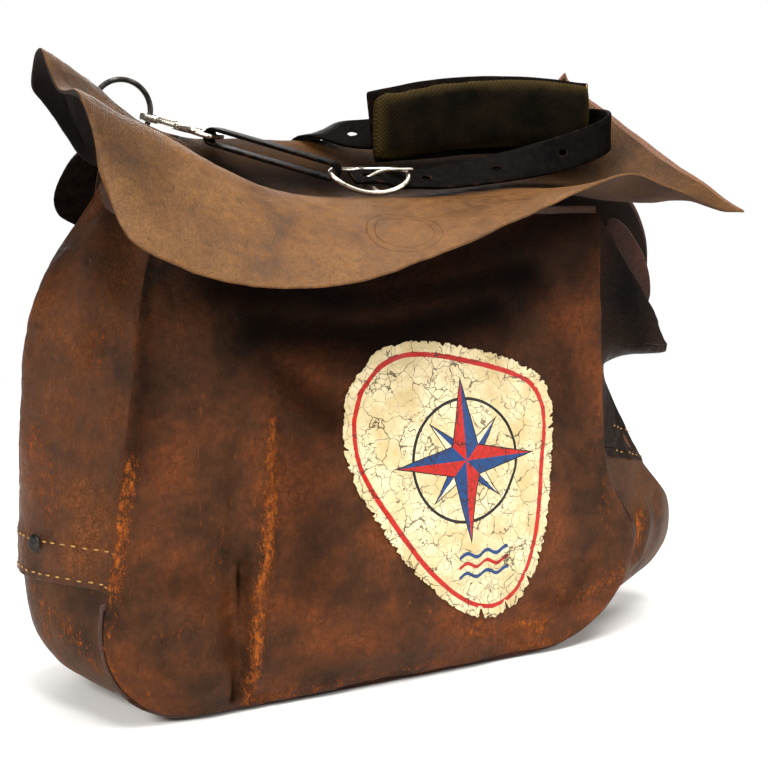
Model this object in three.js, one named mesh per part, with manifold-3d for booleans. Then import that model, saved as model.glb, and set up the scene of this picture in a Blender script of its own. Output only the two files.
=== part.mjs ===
// A leather mail carrier bag: two panels, folded gussets, a bottom strip, a wide flap and a shoulder strap
// with its buckle, pad, rings and snap hooks. Millimetres, X to the right, -Y to the front, +Z up.
import * as THREE from 'three';
import { mergeVertices } from 'three/addons/utils/BufferGeometryUtils.js';
import Module from 'manifold-3d';

const wasm = await Module();
wasm.setup();

// The bag
const bagWidth = 430; // front panel, seam to seam across the bottom
const bagDepth = 150; // gusset, front seam to back seam at the bottom
const bagHeight = 344; // floor to the level of the mouth, which the tables of folds follow
const frontShort = 8; // the front panel ends this far below that level
const backTall = 28; // the back panel rises this far above it
const leftCorner = 62; // bottom corners of both panels
const rightCorner = 88;
const hide = 2.6; // leather of the panels, gussets, bottom and flap
const clearance = 0.3; // gap between pieces that touch
const seamInset = 4; // how far a panel's edge stands out past the gusset
const panelLift = 3.5; // panel's bottom edge above the floor
const weltThickness = 1.8; // leather strip caught in the front seam
const weltReach = 3; // how far it stands out past the panel
const weltWidth = 11; // its whole width
const hemWidth = 30; // band in which a gusset laps the bottom strip
const rivetRadius = 6.5; // flat rivet in the left hem
const rivetHeight = 1.6;
const flapLap = 10; // how far the flap laps the back panel's outer face
const flapRise = 5; // how high it climbs above the back panel before it bends forward

const patchThickness = 0.8; // printed patch on the front

// The strap and its metal
const strapWidth = 27;
const strapThickness = 3.2;
const billetWidth = 16; // short looped strap between hook and buckle
const billetThickness = 3;
const billetLoop = 5.6; // radius of its turn round the eye and the buckle, in its middle
const holeLength = 8; // oval holes of the strap
const holeWidth = 4.5;
const ringRadius = 24; // outer radius of the bag's rings
const ringWire = 4.6;
const buckleLength = 66;
const buckleWidth = 36;
const buckleDome = 6; // rise of its ends over its bar
const buckleWire = 4.4;
const prongWire = 2.8;
const hookLength = 42; // collar to nose
const hookWidth = 16;
const hookPlate = 5.5; // thickness of the cast body
const slotWidth = 8; // opening that the ring hangs in
const slotStart = 12; // from the collar
const gateWidth = 2.6;
const gateThickness = 3;
const gateBoss = 2.4; // radius of the gate's boss
const gateReach = 15; // pivot to the nose's tip
const pivotFrom = 9; // pivot from the collar
const pivotOff = 5; // and off the hook's middle line
const pivotPin = 0.9; // radius of its pin
const shankLength = 7; // swivel shank between hook and eye
const shankRadius = 3;
const eyeWire = 4;
const eyeGap = 7; // open length inside the eye
const chapeWidth = 40; // leather that holds each ring
const chapeNeck = 17; // its width inside the ring
const chapeThickness = 2.2;
const earThickness = 2.2;

// The shoulder pad
const padLength = 196;
const padHeight = 60;
const padThickness = 15;
const padBacking = 3; // leather on its far side
const padOverhang = 4; // how far the leather stands past the padding's right end

const frontHeight = bagHeight - frontShort;
const backHeight = bagHeight + backTall;

// Panel edges, bottom to top: at is a share of the panel's height, left and right are shares of bagWidth,
// front and back of bagDepth
const panelEdges = [
  { at: 0.0, left: -0.49, right: 0.522, front: -0.5, back: 0.5 },
  { at: 0.17, left: -0.49, right: 0.522, front: -0.5, back: 0.5 },
  { at: 0.25, left: -0.486, right: 0.512, front: -0.5, back: 0.5 },
  { at: 0.34, left: -0.472, right: 0.45, front: -0.49, back: 0.5 },
  { at: 0.48, left: -0.454, right: 0.433, front: -0.47, back: 0.5 },
  { at: 0.78, left: -0.41, right: 0.433, front: -0.4, back: 0.49 },
  { at: 1.0, left: -0.372, right: 0.444, front: -0.34, back: 0.48 },
];

// Swell of the front panel and of its upright pleat, bottom to top, as shares of bagDepth
const frontSwell = [
  { at: 0.0, swell: 0.0, valley: 0.0, crest: 0.0 },
  { at: 0.05, swell: 0.06, valley: 0.04, crest: 0.01 },
  { at: 0.12, swell: 0.1, valley: 0.08, crest: 0.03 },
  { at: 0.3, swell: 0.1, valley: 0.05, crest: 0.03 },
  { at: 0.5, swell: 0.06, valley: 0.015, crest: 0.01 },
  { at: 0.7, swell: 0.02, valley: 0.0, crest: 0.0 },
  { at: 1.0, swell: 0.0, valley: 0.0, crest: 0.0 },
];
const pleatAt = 0.235; // crest of the pleat, as a share of the panel's width from its left edge
const pleatSpan = 0.022; // valley to crest, in the same measure
const pouchAt = 0.14; // middle of the rounded pouch between the left seam and the pleat
const pouchSpan = 0.09;
const backSwell = [
  { at: 0.0, swell: 0.0 },
  { at: 0.2, swell: 0.035 },
  { at: 0.55, swell: 0.03 },
  { at: 1.0, swell: 0.0 },
];

// Folds of the sides. down: 0 at the mouth, 1 where the corner starts, 2 on the floor. out: how far the
// middle stands out, share of bagDepth. drop: how far it hangs below its seams, share of bagHeight.
// peak: where between the seams it stands out most. sharp: 0 round, 1 creased. dip: hollow by the front seam.
const leftFolds = [
  { down: 0.0, out: 0.1, drop: 0.03, peak: 0.5, sharp: 0.1, dip: 0.0 },
  { down: 0.12, out: 0.24, drop: 0.02, peak: 0.55, sharp: 0.1, dip: 0.04 },
  { down: 0.28, out: 0.35, drop: 0.0, peak: 0.6, sharp: 0.1, dip: 0.06 },
  { down: 0.45, out: 0.36, drop: 0.0, peak: 0.62, sharp: 0.0, dip: 0.07 },
  { down: 0.65, out: 0.32, drop: 0.0, peak: 0.62, sharp: 0.0, dip: 0.07 },
  { down: 0.91, out: 0.265, drop: 0.0, peak: 0.6, sharp: 0.0, dip: 0.05 },
  { down: 1.0, out: 0.24, drop: 0.0, peak: 0.58, sharp: 0.0, dip: 0.03 },
  { down: 1.3, out: 0.18, drop: 0.0, peak: 0.55, sharp: 0.0, dip: 0.0 },
  { down: 1.65, out: 0.05, drop: 0.0, peak: 0.5, sharp: 0.0, dip: 0.0 },
  { down: 1.85, out: 0.0, drop: 0.0, peak: 0.5, sharp: 0.0, dip: 0.0 },
  { down: 2.0, out: 0.0, drop: 0.0, peak: 0.5, sharp: 0.0, dip: 0.0 },
];
const rightFolds = [
  { down: 0.0, out: 0.753, drop: 0.359, peak: 0.46, sharp: 0.75, dip: 0.0 },
  { down: 0.15, out: 0.787, drop: 0.265, peak: 0.46, sharp: 0.75, dip: 0.0 },
  { down: 0.3, out: 0.827, drop: 0.172, peak: 0.46, sharp: 0.75, dip: 0.0 },
  { down: 0.41, out: 0.807, drop: 0.106, peak: 0.46, sharp: 0.75, dip: 0.0 },
  { down: 0.445, out: 0.687, drop: 0.076, peak: 0.46, sharp: 0.7, dip: 0.0 },
  { down: 0.48, out: 0.487, drop: 0.036, peak: 0.46, sharp: 0.5, dip: 0.0 },
  { down: 0.51, out: 0.3, drop: 0.012, peak: 0.46, sharp: 0.3, dip: 0.0 },
  { down: 0.56, out: 0.28, drop: 0.0, peak: 0.46, sharp: 0.1, dip: 0.0 },
  { down: 0.76, out: 0.47, drop: 0.0, peak: 0.46, sharp: 0.0, dip: 0.0 },
  { down: 0.87, out: 0.56, drop: 0.0, peak: 0.46, sharp: 0.0, dip: 0.0 },
  { down: 1.0, out: 0.63, drop: 0.0, peak: 0.47, sharp: 0.0, dip: 0.0 },
  { down: 1.14, out: 0.62, drop: 0.0, peak: 0.48, sharp: 0.0, dip: 0.0 },
  { down: 1.32, out: 0.42, drop: 0.0, peak: 0.5, sharp: 0.0, dip: 0.0 },
  { down: 1.6, out: 0.1, drop: 0.0, peak: 0.5, sharp: 0.0, dip: 0.0 },
  { down: 1.85, out: 0.0, drop: 0.0, peak: 0.5, sharp: 0.0, dip: 0.0 },
  { down: 2.0, out: 0.0, drop: 0.0, peak: 0.5, sharp: 0.0, dip: 0.0 },
];
const leftHem = 0.91; // where each gusset's lower edge lies, in the measure of the down column
const rightHem = 0.76;
const rightSag = 0.12; // how much lower the right one hangs in its middle

// Sections of the flap from its left edge to its right edge. X: shares of bagWidth, Y: of bagDepth,
// Z: of bagHeight. sewn: 1 where the section starts on the back panel's seam; out and up move that start.
const flapSections = [
  { backX: -0.502, edgeX: -0.484, sewn: 0, out: -0.19, up: 0.165, crestY: 0.09, crestZ: 1.297,
    valleyY: -0.13, valleyZ: 1.211, ridgeY: -0.41, ridgeZ: 1.203, edgeY: -0.56, edgeZ: 1.109 },
  { backX: -0.474, edgeX: -0.481, sewn: 0, out: -0.13, up: 0.135, crestY: 0.13, crestZ: 1.286,
    valleyY: -0.08, valleyZ: 1.211, ridgeY: -0.39, ridgeZ: 1.2, edgeY: -0.71, edgeZ: 1.02 },
  { backX: -0.437, edgeX: -0.465, sewn: 0, out: -0.05, up: 0.075, crestY: 0.22, crestZ: 1.262,
    valleyY: -0.02, valleyZ: 1.2, ridgeY: -0.35, ridgeZ: 1.185, edgeY: -0.84, edgeZ: 0.951 },
  { backX: -0.39, edgeX: -0.428, sewn: 1, out: 0, up: 0.01, crestY: 0.3, crestZ: 1.232,
    valleyY: 0.02, valleyZ: 1.155, ridgeY: -0.32, ridgeZ: 1.165, edgeY: -0.87, edgeZ: 0.92 },
  { backX: -0.321, edgeX: -0.353, sewn: 1, out: 0, up: 0, crestY: 0.4, crestZ: 1.17,
    valleyY: 0.06, valleyZ: 1.085, ridgeY: -0.31, ridgeZ: 1.125, edgeY: -0.87, edgeZ: 0.874 },
  { backX: -0.233, edgeX: -0.251, sewn: 1, out: 0, up: 0, crestY: 0.47, crestZ: 1.128,
    valleyY: 0.08, valleyZ: 1.01, ridgeY: -0.31, ridgeZ: 1.056, edgeY: -0.87, edgeZ: 0.854 },
  { backX: -0.105, edgeX: -0.105, sewn: 1, out: 0, up: 0, crestY: 0.49, crestZ: 1.122,
    valleyY: 0.08, valleyZ: 1, ridgeY: -0.33, ridgeZ: 0.997, edgeY: -0.87, edgeZ: 0.86 },
  { backX: 0.047, edgeX: 0.047, sewn: 1, out: 0, up: 0, crestY: 0.49, crestZ: 1.122,
    valleyY: 0.08, valleyZ: 1.003, ridgeY: -0.35, ridgeZ: 0.999, edgeY: -0.85, edgeZ: 0.917 },
  { backX: 0.198, edgeX: 0.198, sewn: 1, out: 0, up: 0, crestY: 0.5, crestZ: 1.124,
    valleyY: 0.08, valleyZ: 1.015, ridgeY: -0.37, ridgeZ: 1.008, edgeY: -0.81, edgeZ: 0.98 },
  { backX: 0.337, edgeX: 0.326, sewn: 1, out: 0, up: 0, crestY: 0.5, crestZ: 1.136,
    valleyY: 0.08, valleyZ: 1.03, ridgeY: -0.41, ridgeZ: 1.017, edgeY: -0.76, edgeZ: 1.031 },
  { backX: 0.442, edgeX: 0.419, sewn: 1, out: 0, up: 0.02, crestY: 0.5, crestZ: 1.159,
    valleyY: 0.1, valleyZ: 1.035, ridgeY: -0.48, ridgeZ: 1.002, edgeY: -0.73, edgeZ: 1.054 },
  { backX: 0.516, edgeX: 0.53, sewn: 0, out: 0.02, up: 0.14, crestY: 0.48, crestZ: 1.205,
    valleyY: 0.12, valleyZ: 1.05, ridgeY: -0.5, ridgeZ: 0.982, edgeY: -0.73, edgeZ: 1.034 },
  { backX: 0.572, edgeX: 0.679, sewn: 0, out: 0.03, up: 0.235, crestY: 0.42, crestZ: 1.228,
    valleyY: 0.02, valleyZ: 1.127, ridgeY: -0.3, ridgeZ: 1.051, edgeY: -0.66, edgeZ: 0.967 },
];

// Outline of the printed patch, anticlockwise from its left: x shares of bagWidth, z of bagHeight
const patchOutline = [
  { x: -0.088, z: 0.519 },
  { x: -0.074, z: 0.446 },
  { x: -0.042, z: 0.368 },
  { x: 0.007, z: 0.276 },
  { x: 0.064, z: 0.197 },
  { x: 0.122, z: 0.143 },
  { x: 0.175, z: 0.115 },
  { x: 0.221, z: 0.124 },
  { x: 0.261, z: 0.177 },
  { x: 0.291, z: 0.273 },
  { x: 0.309, z: 0.382 },
  { x: 0.319, z: 0.491 },
  { x: 0.32, z: 0.578 },
  { x: 0.301, z: 0.628 },
  { x: 0.234, z: 0.668 },
  { x: 0.165, z: 0.695 },
  { x: 0.099, z: 0.713 },
  { x: 0.034, z: 0.72 },
  { x: -0.024, z: 0.702 },
  { x: -0.059, z: 0.657 },
  { x: -0.081, z: 0.599 },
];

// Route of the strap from its end in the buckle, round the pad, over the back and up to the right hook.
// x: share of bagWidth, y: of bagDepth, z: of bagHeight. wx, wy, wz: way of its width. wide: of strapWidth
const strapRoute = [
  { x: -0.012, y: -0.1455, z: 1.051, wx: 0, wy: 0.86, wz: 0.51, wide: 0.6 },
  { x: 0.021, y: -0.148, z: 1.053, wx: 0, wy: 0.86, wz: 0.51, wide: 0.62 },
  { x: 0.0465, y: -0.144, z: 1.05, wx: 0, wy: 0.86, wz: 0.51, wide: 0.62 },
  { x: 0.0744, y: -0.129, z: 1.039, wx: 0, wy: 0.86, wz: 0.51, wide: 0.62 },
  { x: 0.093, y: -0.134, z: 1.043, wx: 0, wy: 0.86, wz: 0.51, wide: 0.72 },
  { x: 0.156, y: -0.12, z: 1.048, wx: 0, wy: 0.82, wz: 0.58, wide: 1 },
  { x: 0.286, y: -0.1, z: 1.067, wx: 0, wy: 0.7, wz: 0.71, wide: 1 },
  { x: 0.42, y: -0.09, z: 1.1, wx: 0, wy: 0.3, wz: 0.95, wide: 1 },
  { x: 0.5, y: -0.075, z: 1.129, wx: 0, wy: 0.1, wz: 1, wide: 1 },
  { x: 0.537, y: -0.03, z: 1.148, wx: 0, wy: 0, wz: 1, wide: 1 },
  { x: 0.549, y: 0.05, z: 1.16, wx: 0, wy: 0, wz: 1, wide: 1 },
  { x: 0.547, y: 0.15, z: 1.164, wx: 0, wy: 0, wz: 1, wide: 1 },
  { x: 0.525, y: 0.214, z: 1.164, wx: 0, wy: 0, wz: 1, wide: 1 },
  { x: 0.45, y: 0.228, z: 1.161, wx: 0, wy: 0, wz: 1, wide: 1 },
  { x: 0.28, y: 0.23, z: 1.158, wx: 0, wy: 0, wz: 1, wide: 1 },
  { x: 0.12, y: 0.255, z: 1.143, wx: 0.1, wy: 0.5, wz: 0.85, wide: 1 },
  { x: 0.07, y: 0.33, z: 1.142, wx: 0.4, wy: 0.5, wz: 0.75, wide: 1 },
  { x: 0.032, y: 0.44, z: 1.149, wx: 0.85, wy: 0.4, wz: 0.35, wide: 1 },
  { x: 0.01, y: 0.562, z: 1.122, wx: 1, wy: 0.1, wz: 0.05, wide: 1 },
  { x: -0.01, y: 0.6, z: 1.0, wx: 1, wy: 0, wz: -0.1, wide: 1 },
  { x: -0.015, y: 0.61, z: 0.82, wx: 1, wy: 0, wz: 0.05, wide: 1 },
  { x: 0.01, y: 0.61, z: 0.6, wx: 0.95, wy: 0, wz: 0.3, wide: 1 },
  { x: 0.08, y: 0.61, z: 0.43, wx: 0.6, wy: 0, wz: 0.8, wide: 1 },
  { x: 0.19, y: 0.61, z: 0.37, wx: 0, wy: 0, wz: 1, wide: 1 },
  { x: 0.3, y: 0.61, z: 0.44, wx: -0.6, wy: 0, wz: 0.8, wide: 1 },
  { x: 0.37, y: 0.61, z: 0.6, wx: -0.95, wy: 0, wz: 0.3, wide: 1 },
  { x: 0.395, y: 0.615, z: 0.77, wx: -1, wy: 0, wz: 0.05, wide: 0.58 },
];
const strapTurnBack = 26; // sewn end beyond the right hook's eye
const holesAt = [0.1416, 0.18, 0.212, 0.485]; // strap's holes, as shares of its length
const prongSlot = 14; // slot that the prong comes up through

// Places of the metal, in the same shares. lean: of the buckle's width, in radians
const buckleAt = { x: 0.021, y: -0.133, z: 1.042, lean: 0.535 };
const billetTurn = 0.46; // where the billet holds the buckle's rim, radians from its left end
const leftRingAt = { x: -0.326, z: 1.192 };
const rightRingAt = { x: 0.44, z: 1.11 };
const ringHold = 0.26; // where the left hook holds its ring, radians below its right side
const rightHold = 0.2; // where the right hook holds its ring, radians from its foot
const chapeTilt = 0.5; // lean of a chape towards the bag's side, in radians
const chapeLength = 70;
const ringStandOff = 9; // ring's middle behind the back panel

// Sections of the pad from its left end: at, share of padLength; y and z of its middle, in the same shares;
// tall and thick, shares of padHeight and padThickness
const padSections = [
  { at: 0.0, y: 0.12, z: 1.155, tall: 0.6, thick: 0.4 },
  { at: 0.015, y: 0.12, z: 1.155, tall: 0.8, thick: 0.85 },
  { at: 0.05, y: 0.118, z: 1.157, tall: 0.88, thick: 1.0 },
  { at: 0.15, y: 0.114, z: 1.165, tall: 0.94, thick: 1.0 },
  { at: 0.35, y: 0.11, z: 1.18, tall: 1.0, thick: 0.95 },
  { at: 0.65, y: 0.11, z: 1.188, tall: 1.0, thick: 0.95 },
  { at: 0.88, y: 0.108, z: 1.184, tall: 0.98, thick: 1.0 },
  { at: 0.97, y: 0.106, z: 1.18, tall: 0.94, thick: 1.0 },
  { at: 0.99, y: 0.106, z: 1.18, tall: 0.9, thick: 0.8 },
  { at: 1.0, y: 0.106, z: 1.18, tall: 0.78, thick: 0.4 },
];
const padFrom = 0.07; // its left end, share of bagWidth

// The bag's ears, rounded ends of leather that rise from the back halves of the gussets.
// from, to: where their root lies between the seams.
const earTuck = 0.05; // how far they reach down inside the gusset, in the measure of the down column
const ears = [
  { name: 'left_ear', side: -1, from: 0.66, to: 0.88, length: 18, reach: { x: -0.05, y: -0.3, z: 1 } },
  { name: 'right_ear', side: 1, from: 0.56, to: 0.9, length: 58, reach: { x: 0.3, y: -0.2, z: 1 } },
  { name: 'right_inner_ear', side: 1, from: 0.05, to: 0.34, length: 34, reach: { x: 0.5, y: 0.4, z: 0.6 } },
];

const group = new THREE.Group();
const bag = new THREE.Group();
group.add(bag);

const finishes = {
  panel: { color: 0x4a2a1c, roughness: 0.55, metalness: 0 },
  flap: { color: 0x7a4e2e, roughness: 0.6, metalness: 0 },
  black: { color: 0x17130f, roughness: 0.45, metalness: 0 },
  canvas: { color: 0x4d422a, roughness: 0.9, metalness: 0 },
  print: { color: 0xd9c998, roughness: 0.5, metalness: 0 },
  nickel: { color: 0xb9b2a6, roughness: 0.3, metalness: 1 },
  iron: { color: 0x3d3b38, roughness: 0.5, metalness: 1 },
};

// A table column at t, smooth through the rows and never past its neighbours
function column(rows, place, key, t) {
  const last = rows.length - 1;
  const x = Math.min(Math.max(t, rows[0][place]), rows[last][place]);
  let i = 0;
  while (i < last - 1 && x > rows[i + 1][place]) i += 1;
  const slope = (a) => (rows[a + 1][key] - rows[a][key]) / (rows[a + 1][place] - rows[a][place]);
  const tangent = (a) => {
    if (a === 0 || a === last) return slope(Math.min(a, last - 1));
    const before = slope(a - 1);
    const after = slope(a);
    return before * after <= 0 ? 0 : (2 * before * after) / (before + after);
  };
  const span = rows[i + 1][place] - rows[i][place];
  const s = (x - rows[i][place]) / span;
  const rise = s * s * (3 - 2 * s);
  return rows[i][key] * (1 - rise) + rows[i + 1][key] * rise
    + span * (s * (1 - s) ** 2 * tangent(i) - s * s * (1 - s) * tangent(i + 1));
}

function smoothStep(a, b, x) {
  const s = Math.min(Math.max((x - a) / (b - a), 0), 1);
  return s * s * (3 - 2 * s);
}

function shares(count) {
  return Array.from({ length: count + 1 }, (_, i) => i / count);
}

function placeIn(list, u) {
  const place = u * (list.length - 1);
  const i = Math.min(Math.floor(place), list.length - 2);
  return { i, s: place - i };
}

// Triangles of a closed skin over two grids of points, columns x rows, laid one behind the other
function skinIndex(columns, rows) {
  const index = [];
  const back = columns * rows;
  const quad = (a, b, c, d) => index.push(a, b, c, a, c, d);
  for (let j = 0; j < rows - 1; j += 1) {
    for (let i = 0; i < columns - 1; i += 1) {
      const a = j * columns + i;
      quad(a, a + 1, a + 1 + columns, a + columns);
      quad(back + a, back + a + columns, back + a + 1 + columns, back + a + 1);
    }
  }
  for (let i = 0; i < columns - 1; i += 1) {
    const top = (rows - 1) * columns + i;
    quad(i, back + i, back + i + 1, i + 1);
    quad(top, top + 1, back + top + 1, back + top);
  }
  for (let j = 0; j < rows - 1; j += 1) {
    const a = j * columns;
    const b = a + columns - 1;
    quad(a, a + columns, back + a + columns, back + a);
    quad(b, back + b, back + b + columns, b + columns);
  }
  return index;
}

// A wall whose outer face is point(u, v), with its inner face thickness behind it
function wall(point, us, vs, thickness, wayIn) {
  const outer = [];
  const inner = [];
  const step = 1e-3;
  vs.forEach((v) => us.forEach((u) => {
    const p = point(u, v);
    const alongU = point(Math.min(u + step, 1), v).sub(point(Math.max(u - step, 0), v));
    const alongV = point(u, Math.min(v + step, 1)).sub(point(u, Math.max(v - step, 0)));
    const normal = alongU.cross(alongV).normalize();
    const inwards = wayIn ? wayIn(u, v, normal) : normal.clone().negate();
    outer.push(p.x, p.y, p.z);
    inner.push(p.x + inwards.x * thickness, p.y + inwards.y * thickness, p.z + inwards.z * thickness);
  }));
  const geometry = new THREE.BufferGeometry();
  geometry.setAttribute('position', new THREE.Float32BufferAttribute([...outer, ...inner], 3));
  geometry.setIndex(skinIndex(us.length, vs.length));
  return geometry;
}

// A closed body through rings of points, all rings of one count, with a fan at each end
function loft(rings) {
  const count = rings[0].length;
  const position = rings.flat().flatMap((p) => [p.x, p.y, p.z]);
  const index = [];
  for (let r = 0; r < rings.length - 1; r += 1) {
    for (let i = 0; i < count; i += 1) {
      const a = r * count + i;
      const b = r * count + ((i + 1) % count);
      index.push(a, b, b + count, a, b + count, a + count);
    }
  }
  [0, rings.length - 1].forEach((r) => {
    const centre = rings[r].reduce((sum, p) => sum.add(p), new THREE.Vector3()).divideScalar(count);
    const hub = position.length / 3;
    position.push(centre.x, centre.y, centre.z);
    for (let i = 0; i < count; i += 1) {
      const a = r * count + i;
      const b = r * count + ((i + 1) % count);
      if (r === 0) index.push(hub, b, a);
      else index.push(hub, a, b);
    }
  });
  const geometry = new THREE.BufferGeometry();
  geometry.setAttribute('position', new THREE.Float32BufferAttribute(position, 3));
  geometry.setIndex(index);
  return geometry;
}

// A closed body through rings of points that come back to the first
function hoop(rings) {
  const count = rings[0].length;
  const position = rings.flat().flatMap((p) => [p.x, p.y, p.z]);
  const index = [];
  for (let r = 0; r < rings.length; r += 1) {
    const next = (r + 1) % rings.length;
    for (let i = 0; i < count; i += 1) {
      const j = (i + 1) % count;
      index.push(r * count + i, r * count + j, next * count + j);
      index.push(r * count + i, next * count + j, next * count + i);
    }
  }
  const geometry = new THREE.BufferGeometry();
  geometry.setAttribute('position', new THREE.Float32BufferAttribute(position, 3));
  geometry.setIndex(index);
  return geometry;
}

// A flat strap along points, with the way of its width and its width given at each
function ribbonRings(points, ways, widths, thickness, closed) {
  const last = points.length - 1;
  return points.map((p, i) => {
    const before = points[closed ? (i + last) % (last + 1) : Math.max(i - 1, 0)];
    const after = points[closed ? (i + 1) % (last + 1) : Math.min(i + 1, last)];
    const along = after.clone().sub(before).normalize();
    const across = ways[i].clone().addScaledVector(along, -ways[i].dot(along)).normalize();
    const face = along.clone().cross(across);
    return [[-1, -1], [1, -1], [1, 1], [-1, 1]].map(([a, b]) => p.clone()
      .addScaledVector(across, a * widths[i] / 2)
      .addScaledVector(face, b * thickness / 2));
  });
}

function ribbon(points, ways, widths, thickness) {
  return loft(ribbonRings(points, ways, widths, thickness, false));
}

function positionsOnly(geometry) {
  const bare = geometry.clone();
  bare.deleteAttribute('normal');
  bare.deleteAttribute('uv');
  return mergeVertices(bare, 1e-4);
}

function solid(geometry) {
  const bare = positionsOnly(geometry);
  return new wasm.Manifold(new wasm.Mesh({
    numProp: 3,
    vertProperties: new Float32Array(bare.attributes.position.array),
    triVerts: new Uint32Array(bare.index.array),
  }));
}

function fromSolid(body) {
  const mesh = body.getMesh();
  const geometry = new THREE.BufferGeometry();
  geometry.setAttribute('position', new THREE.Float32BufferAttribute(mesh.vertProperties, 3));
  geometry.setIndex(Array.from(mesh.triVerts));
  return geometry;
}

function addMesh(name, geometry, finish, parent = bag) {
  const mesh = new THREE.Mesh(positionsOnly(geometry), new THREE.MeshStandardMaterial(finish));
  mesh.name = name;
  parent.add(mesh);
  return mesh;
}

function placed(at) {
  return new THREE.Vector3(bagWidth * at.x, bagDepth * (at.y ?? 0), bagHeight * at.z);
}

// A point of a panel's side line. side: -1 left, 1 right. down: as in the tables of folds.
function sidePoint(height, side, down) {
  const key = side < 0 ? 'left' : 'right';
  const radius = side < 0 ? leftCorner : rightCorner;
  const top = height + panelLift;
  const centreZ = panelLift + radius;
  if (down <= 1) {
    const z = top + (centreZ - top) * down;
    return { x: bagWidth * column(panelEdges, 'at', key, z / top), z, nx: side, nz: 0 };
  }
  const turn = (down - 1) * Math.PI / 2;
  const centreX = bagWidth * column(panelEdges, 'at', key, centreZ / top) - side * radius;
  return {
    x: centreX + side * radius * Math.cos(turn),
    z: centreZ - radius * Math.sin(turn),
    nx: side * Math.cos(turn),
    nz: -Math.sin(turn),
  };
}

// The same line by height alone, for the panels
function sideAt(height, side, z) {
  const radius = side < 0 ? leftCorner : rightCorner;
  const centreZ = panelLift + radius;
  if (z >= centreZ) return sidePoint(height, side, (height + panelLift - z) / (height - radius)).x;
  const turn = Math.asin(Math.min((centreZ - z) / radius, 1));
  return sidePoint(height, side, 1 + turn / (Math.PI / 2)).x;
}

function seamY(height, face, z) {
  return bagDepth * column(panelEdges, 'at', face, z / (height + panelLift));
}

// A panel's outer face: u runs across it and v from its bottom edge (0) to its mouth (1)
function panelLevels(height) {
  const cornerLevels = shares(6).map((s) => rightCorner * (1 - Math.cos(s * Math.PI / 2)));
  const sideLevels = shares(8).slice(1).map((s) => rightCorner + (height - rightCorner) * s);
  return [...cornerLevels, ...sideLevels].map((z) => z + panelLift);
}

function panelPoint(height, depthAt) {
  const levels = panelLevels(height);
  return (u, v) => {
    const { i, s } = placeIn(levels, v);
    const z = levels[i] + (levels[i + 1] - levels[i]) * s;
    const left = sideAt(height, -1, z);
    const right = sideAt(height, 1, z);
    return new THREE.Vector3(left + (right - left) * u, depthAt(u, z), z);
  };
}

function frontDepth(u, z) {
  const t = z / (frontHeight + panelLift);
  const bump = (middle, span) => Math.exp(-(((u - middle) / span) ** 2));
  const across = Math.sin(Math.PI * u) ** 2 + 0.5 * bump(pouchAt, pouchSpan) * smoothStep(0, 0.06, u);
  const swell = column(frontSwell, 'at', 'swell', t) * Math.min(across, 1);
  const crest = column(frontSwell, 'at', 'crest', t) * bump(pleatAt, pleatSpan);
  const valley = column(frontSwell, 'at', 'valley', t) * bump(pleatAt - pleatSpan * 1.3, pleatSpan);
  return seamY(frontHeight, 'front', z) - bagDepth * (swell + crest - valley);
}

function backDepth(u, z) {
  const swell = column(backSwell, 'at', 'swell', z / (backHeight + panelLift));
  return seamY(backHeight, 'back', z) + bagDepth * swell * Math.sin(Math.PI * u) ** 2;
}

const pleatLines = [-2.6, -1.9, -1.3, -0.6, 0, 0.7, 1.6].map((s) => pleatAt + s * pleatSpan);
const evenLines = shares(17).filter((u) => pleatLines.every((p) => Math.abs(p - u) > pleatSpan / 2));
const frontLines = [...evenLines, ...pleatLines].sort((a, b) => a - b);
const frontLevels = shares(panelLevels(frontHeight).length - 1);
addMesh('front_panel', wall(panelPoint(frontHeight, frontDepth), frontLines, frontLevels, hide,
  () => new THREE.Vector3(0, 1, 0)), finishes.panel);

const backPoint = panelPoint(backHeight, backDepth);
const backLevels = shares(panelLevels(backHeight).length - 1);
addMesh('back_panel', wall((u, v) => backPoint(1 - u, v), shares(10), backLevels, hide,
  () => new THREE.Vector3(0, -1, 0)), finishes.panel);

// The sides between the seams: down as in the tables, v from the front seam (0) to the back seam (1)
const frontSeamGap = hide + clearance + weltThickness + clearance;
const underHem = hide + 2 * clearance; // the bottom strip's depth under a gusset's outer face
function sideSurface(folds, side) {
  return (level, v) => {
    const nearHem = smoothStep(0.5, 0.74, level) * (1 - smoothStep(0.95, 1.5, level));
    const down = side < 0 ? level : level + rightSag * nearHem * Math.sin(Math.PI * v);
    const ahead = sidePoint(frontHeight, side, down);
    const behind = sidePoint(backHeight, side, down);
    const turn = Math.max(down - 1, 0) * Math.PI / 2;
    const upright = Math.cos(turn) ** 2;
    const seamIn = seamInset * upright - (panelLift + underHem) * (1 - upright);
    const out = bagDepth * column(folds, 'down', 'out', down);
    const dip = bagDepth * column(folds, 'down', 'dip', down);
    const drop = bagHeight * column(folds, 'down', 'drop', down);
    const peak = column(folds, 'down', 'peak', down);
    const sharp = column(folds, 'down', 'sharp', down);
    const bend = v ** (Math.log(0.5) / Math.log(peak));
    const round = Math.sin(Math.PI * bend);
    const creased = 1 - Math.abs(2 * bend - 1);
    const shape = round + (creased - round) * sharp;
    const hollow = Math.exp(-(((v - 0.13) / 0.1) ** 2)) * smoothStep(0, 0.08, v);
    const stand = out * shape - dip * hollow - seamIn;
    const frontY = seamY(frontHeight, 'front', ahead.z) + frontSeamGap;
    const backY = seamY(backHeight, 'back', behind.z) - hide - clearance;
    return new THREE.Vector3(
      ahead.x + (behind.x - ahead.x) * v + ahead.nx * stand,
      frontY + (backY - frontY) * v,
      ahead.z + (behind.z - ahead.z) * v + ahead.nz * stand - drop * shape,
    );
  };
}

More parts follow.
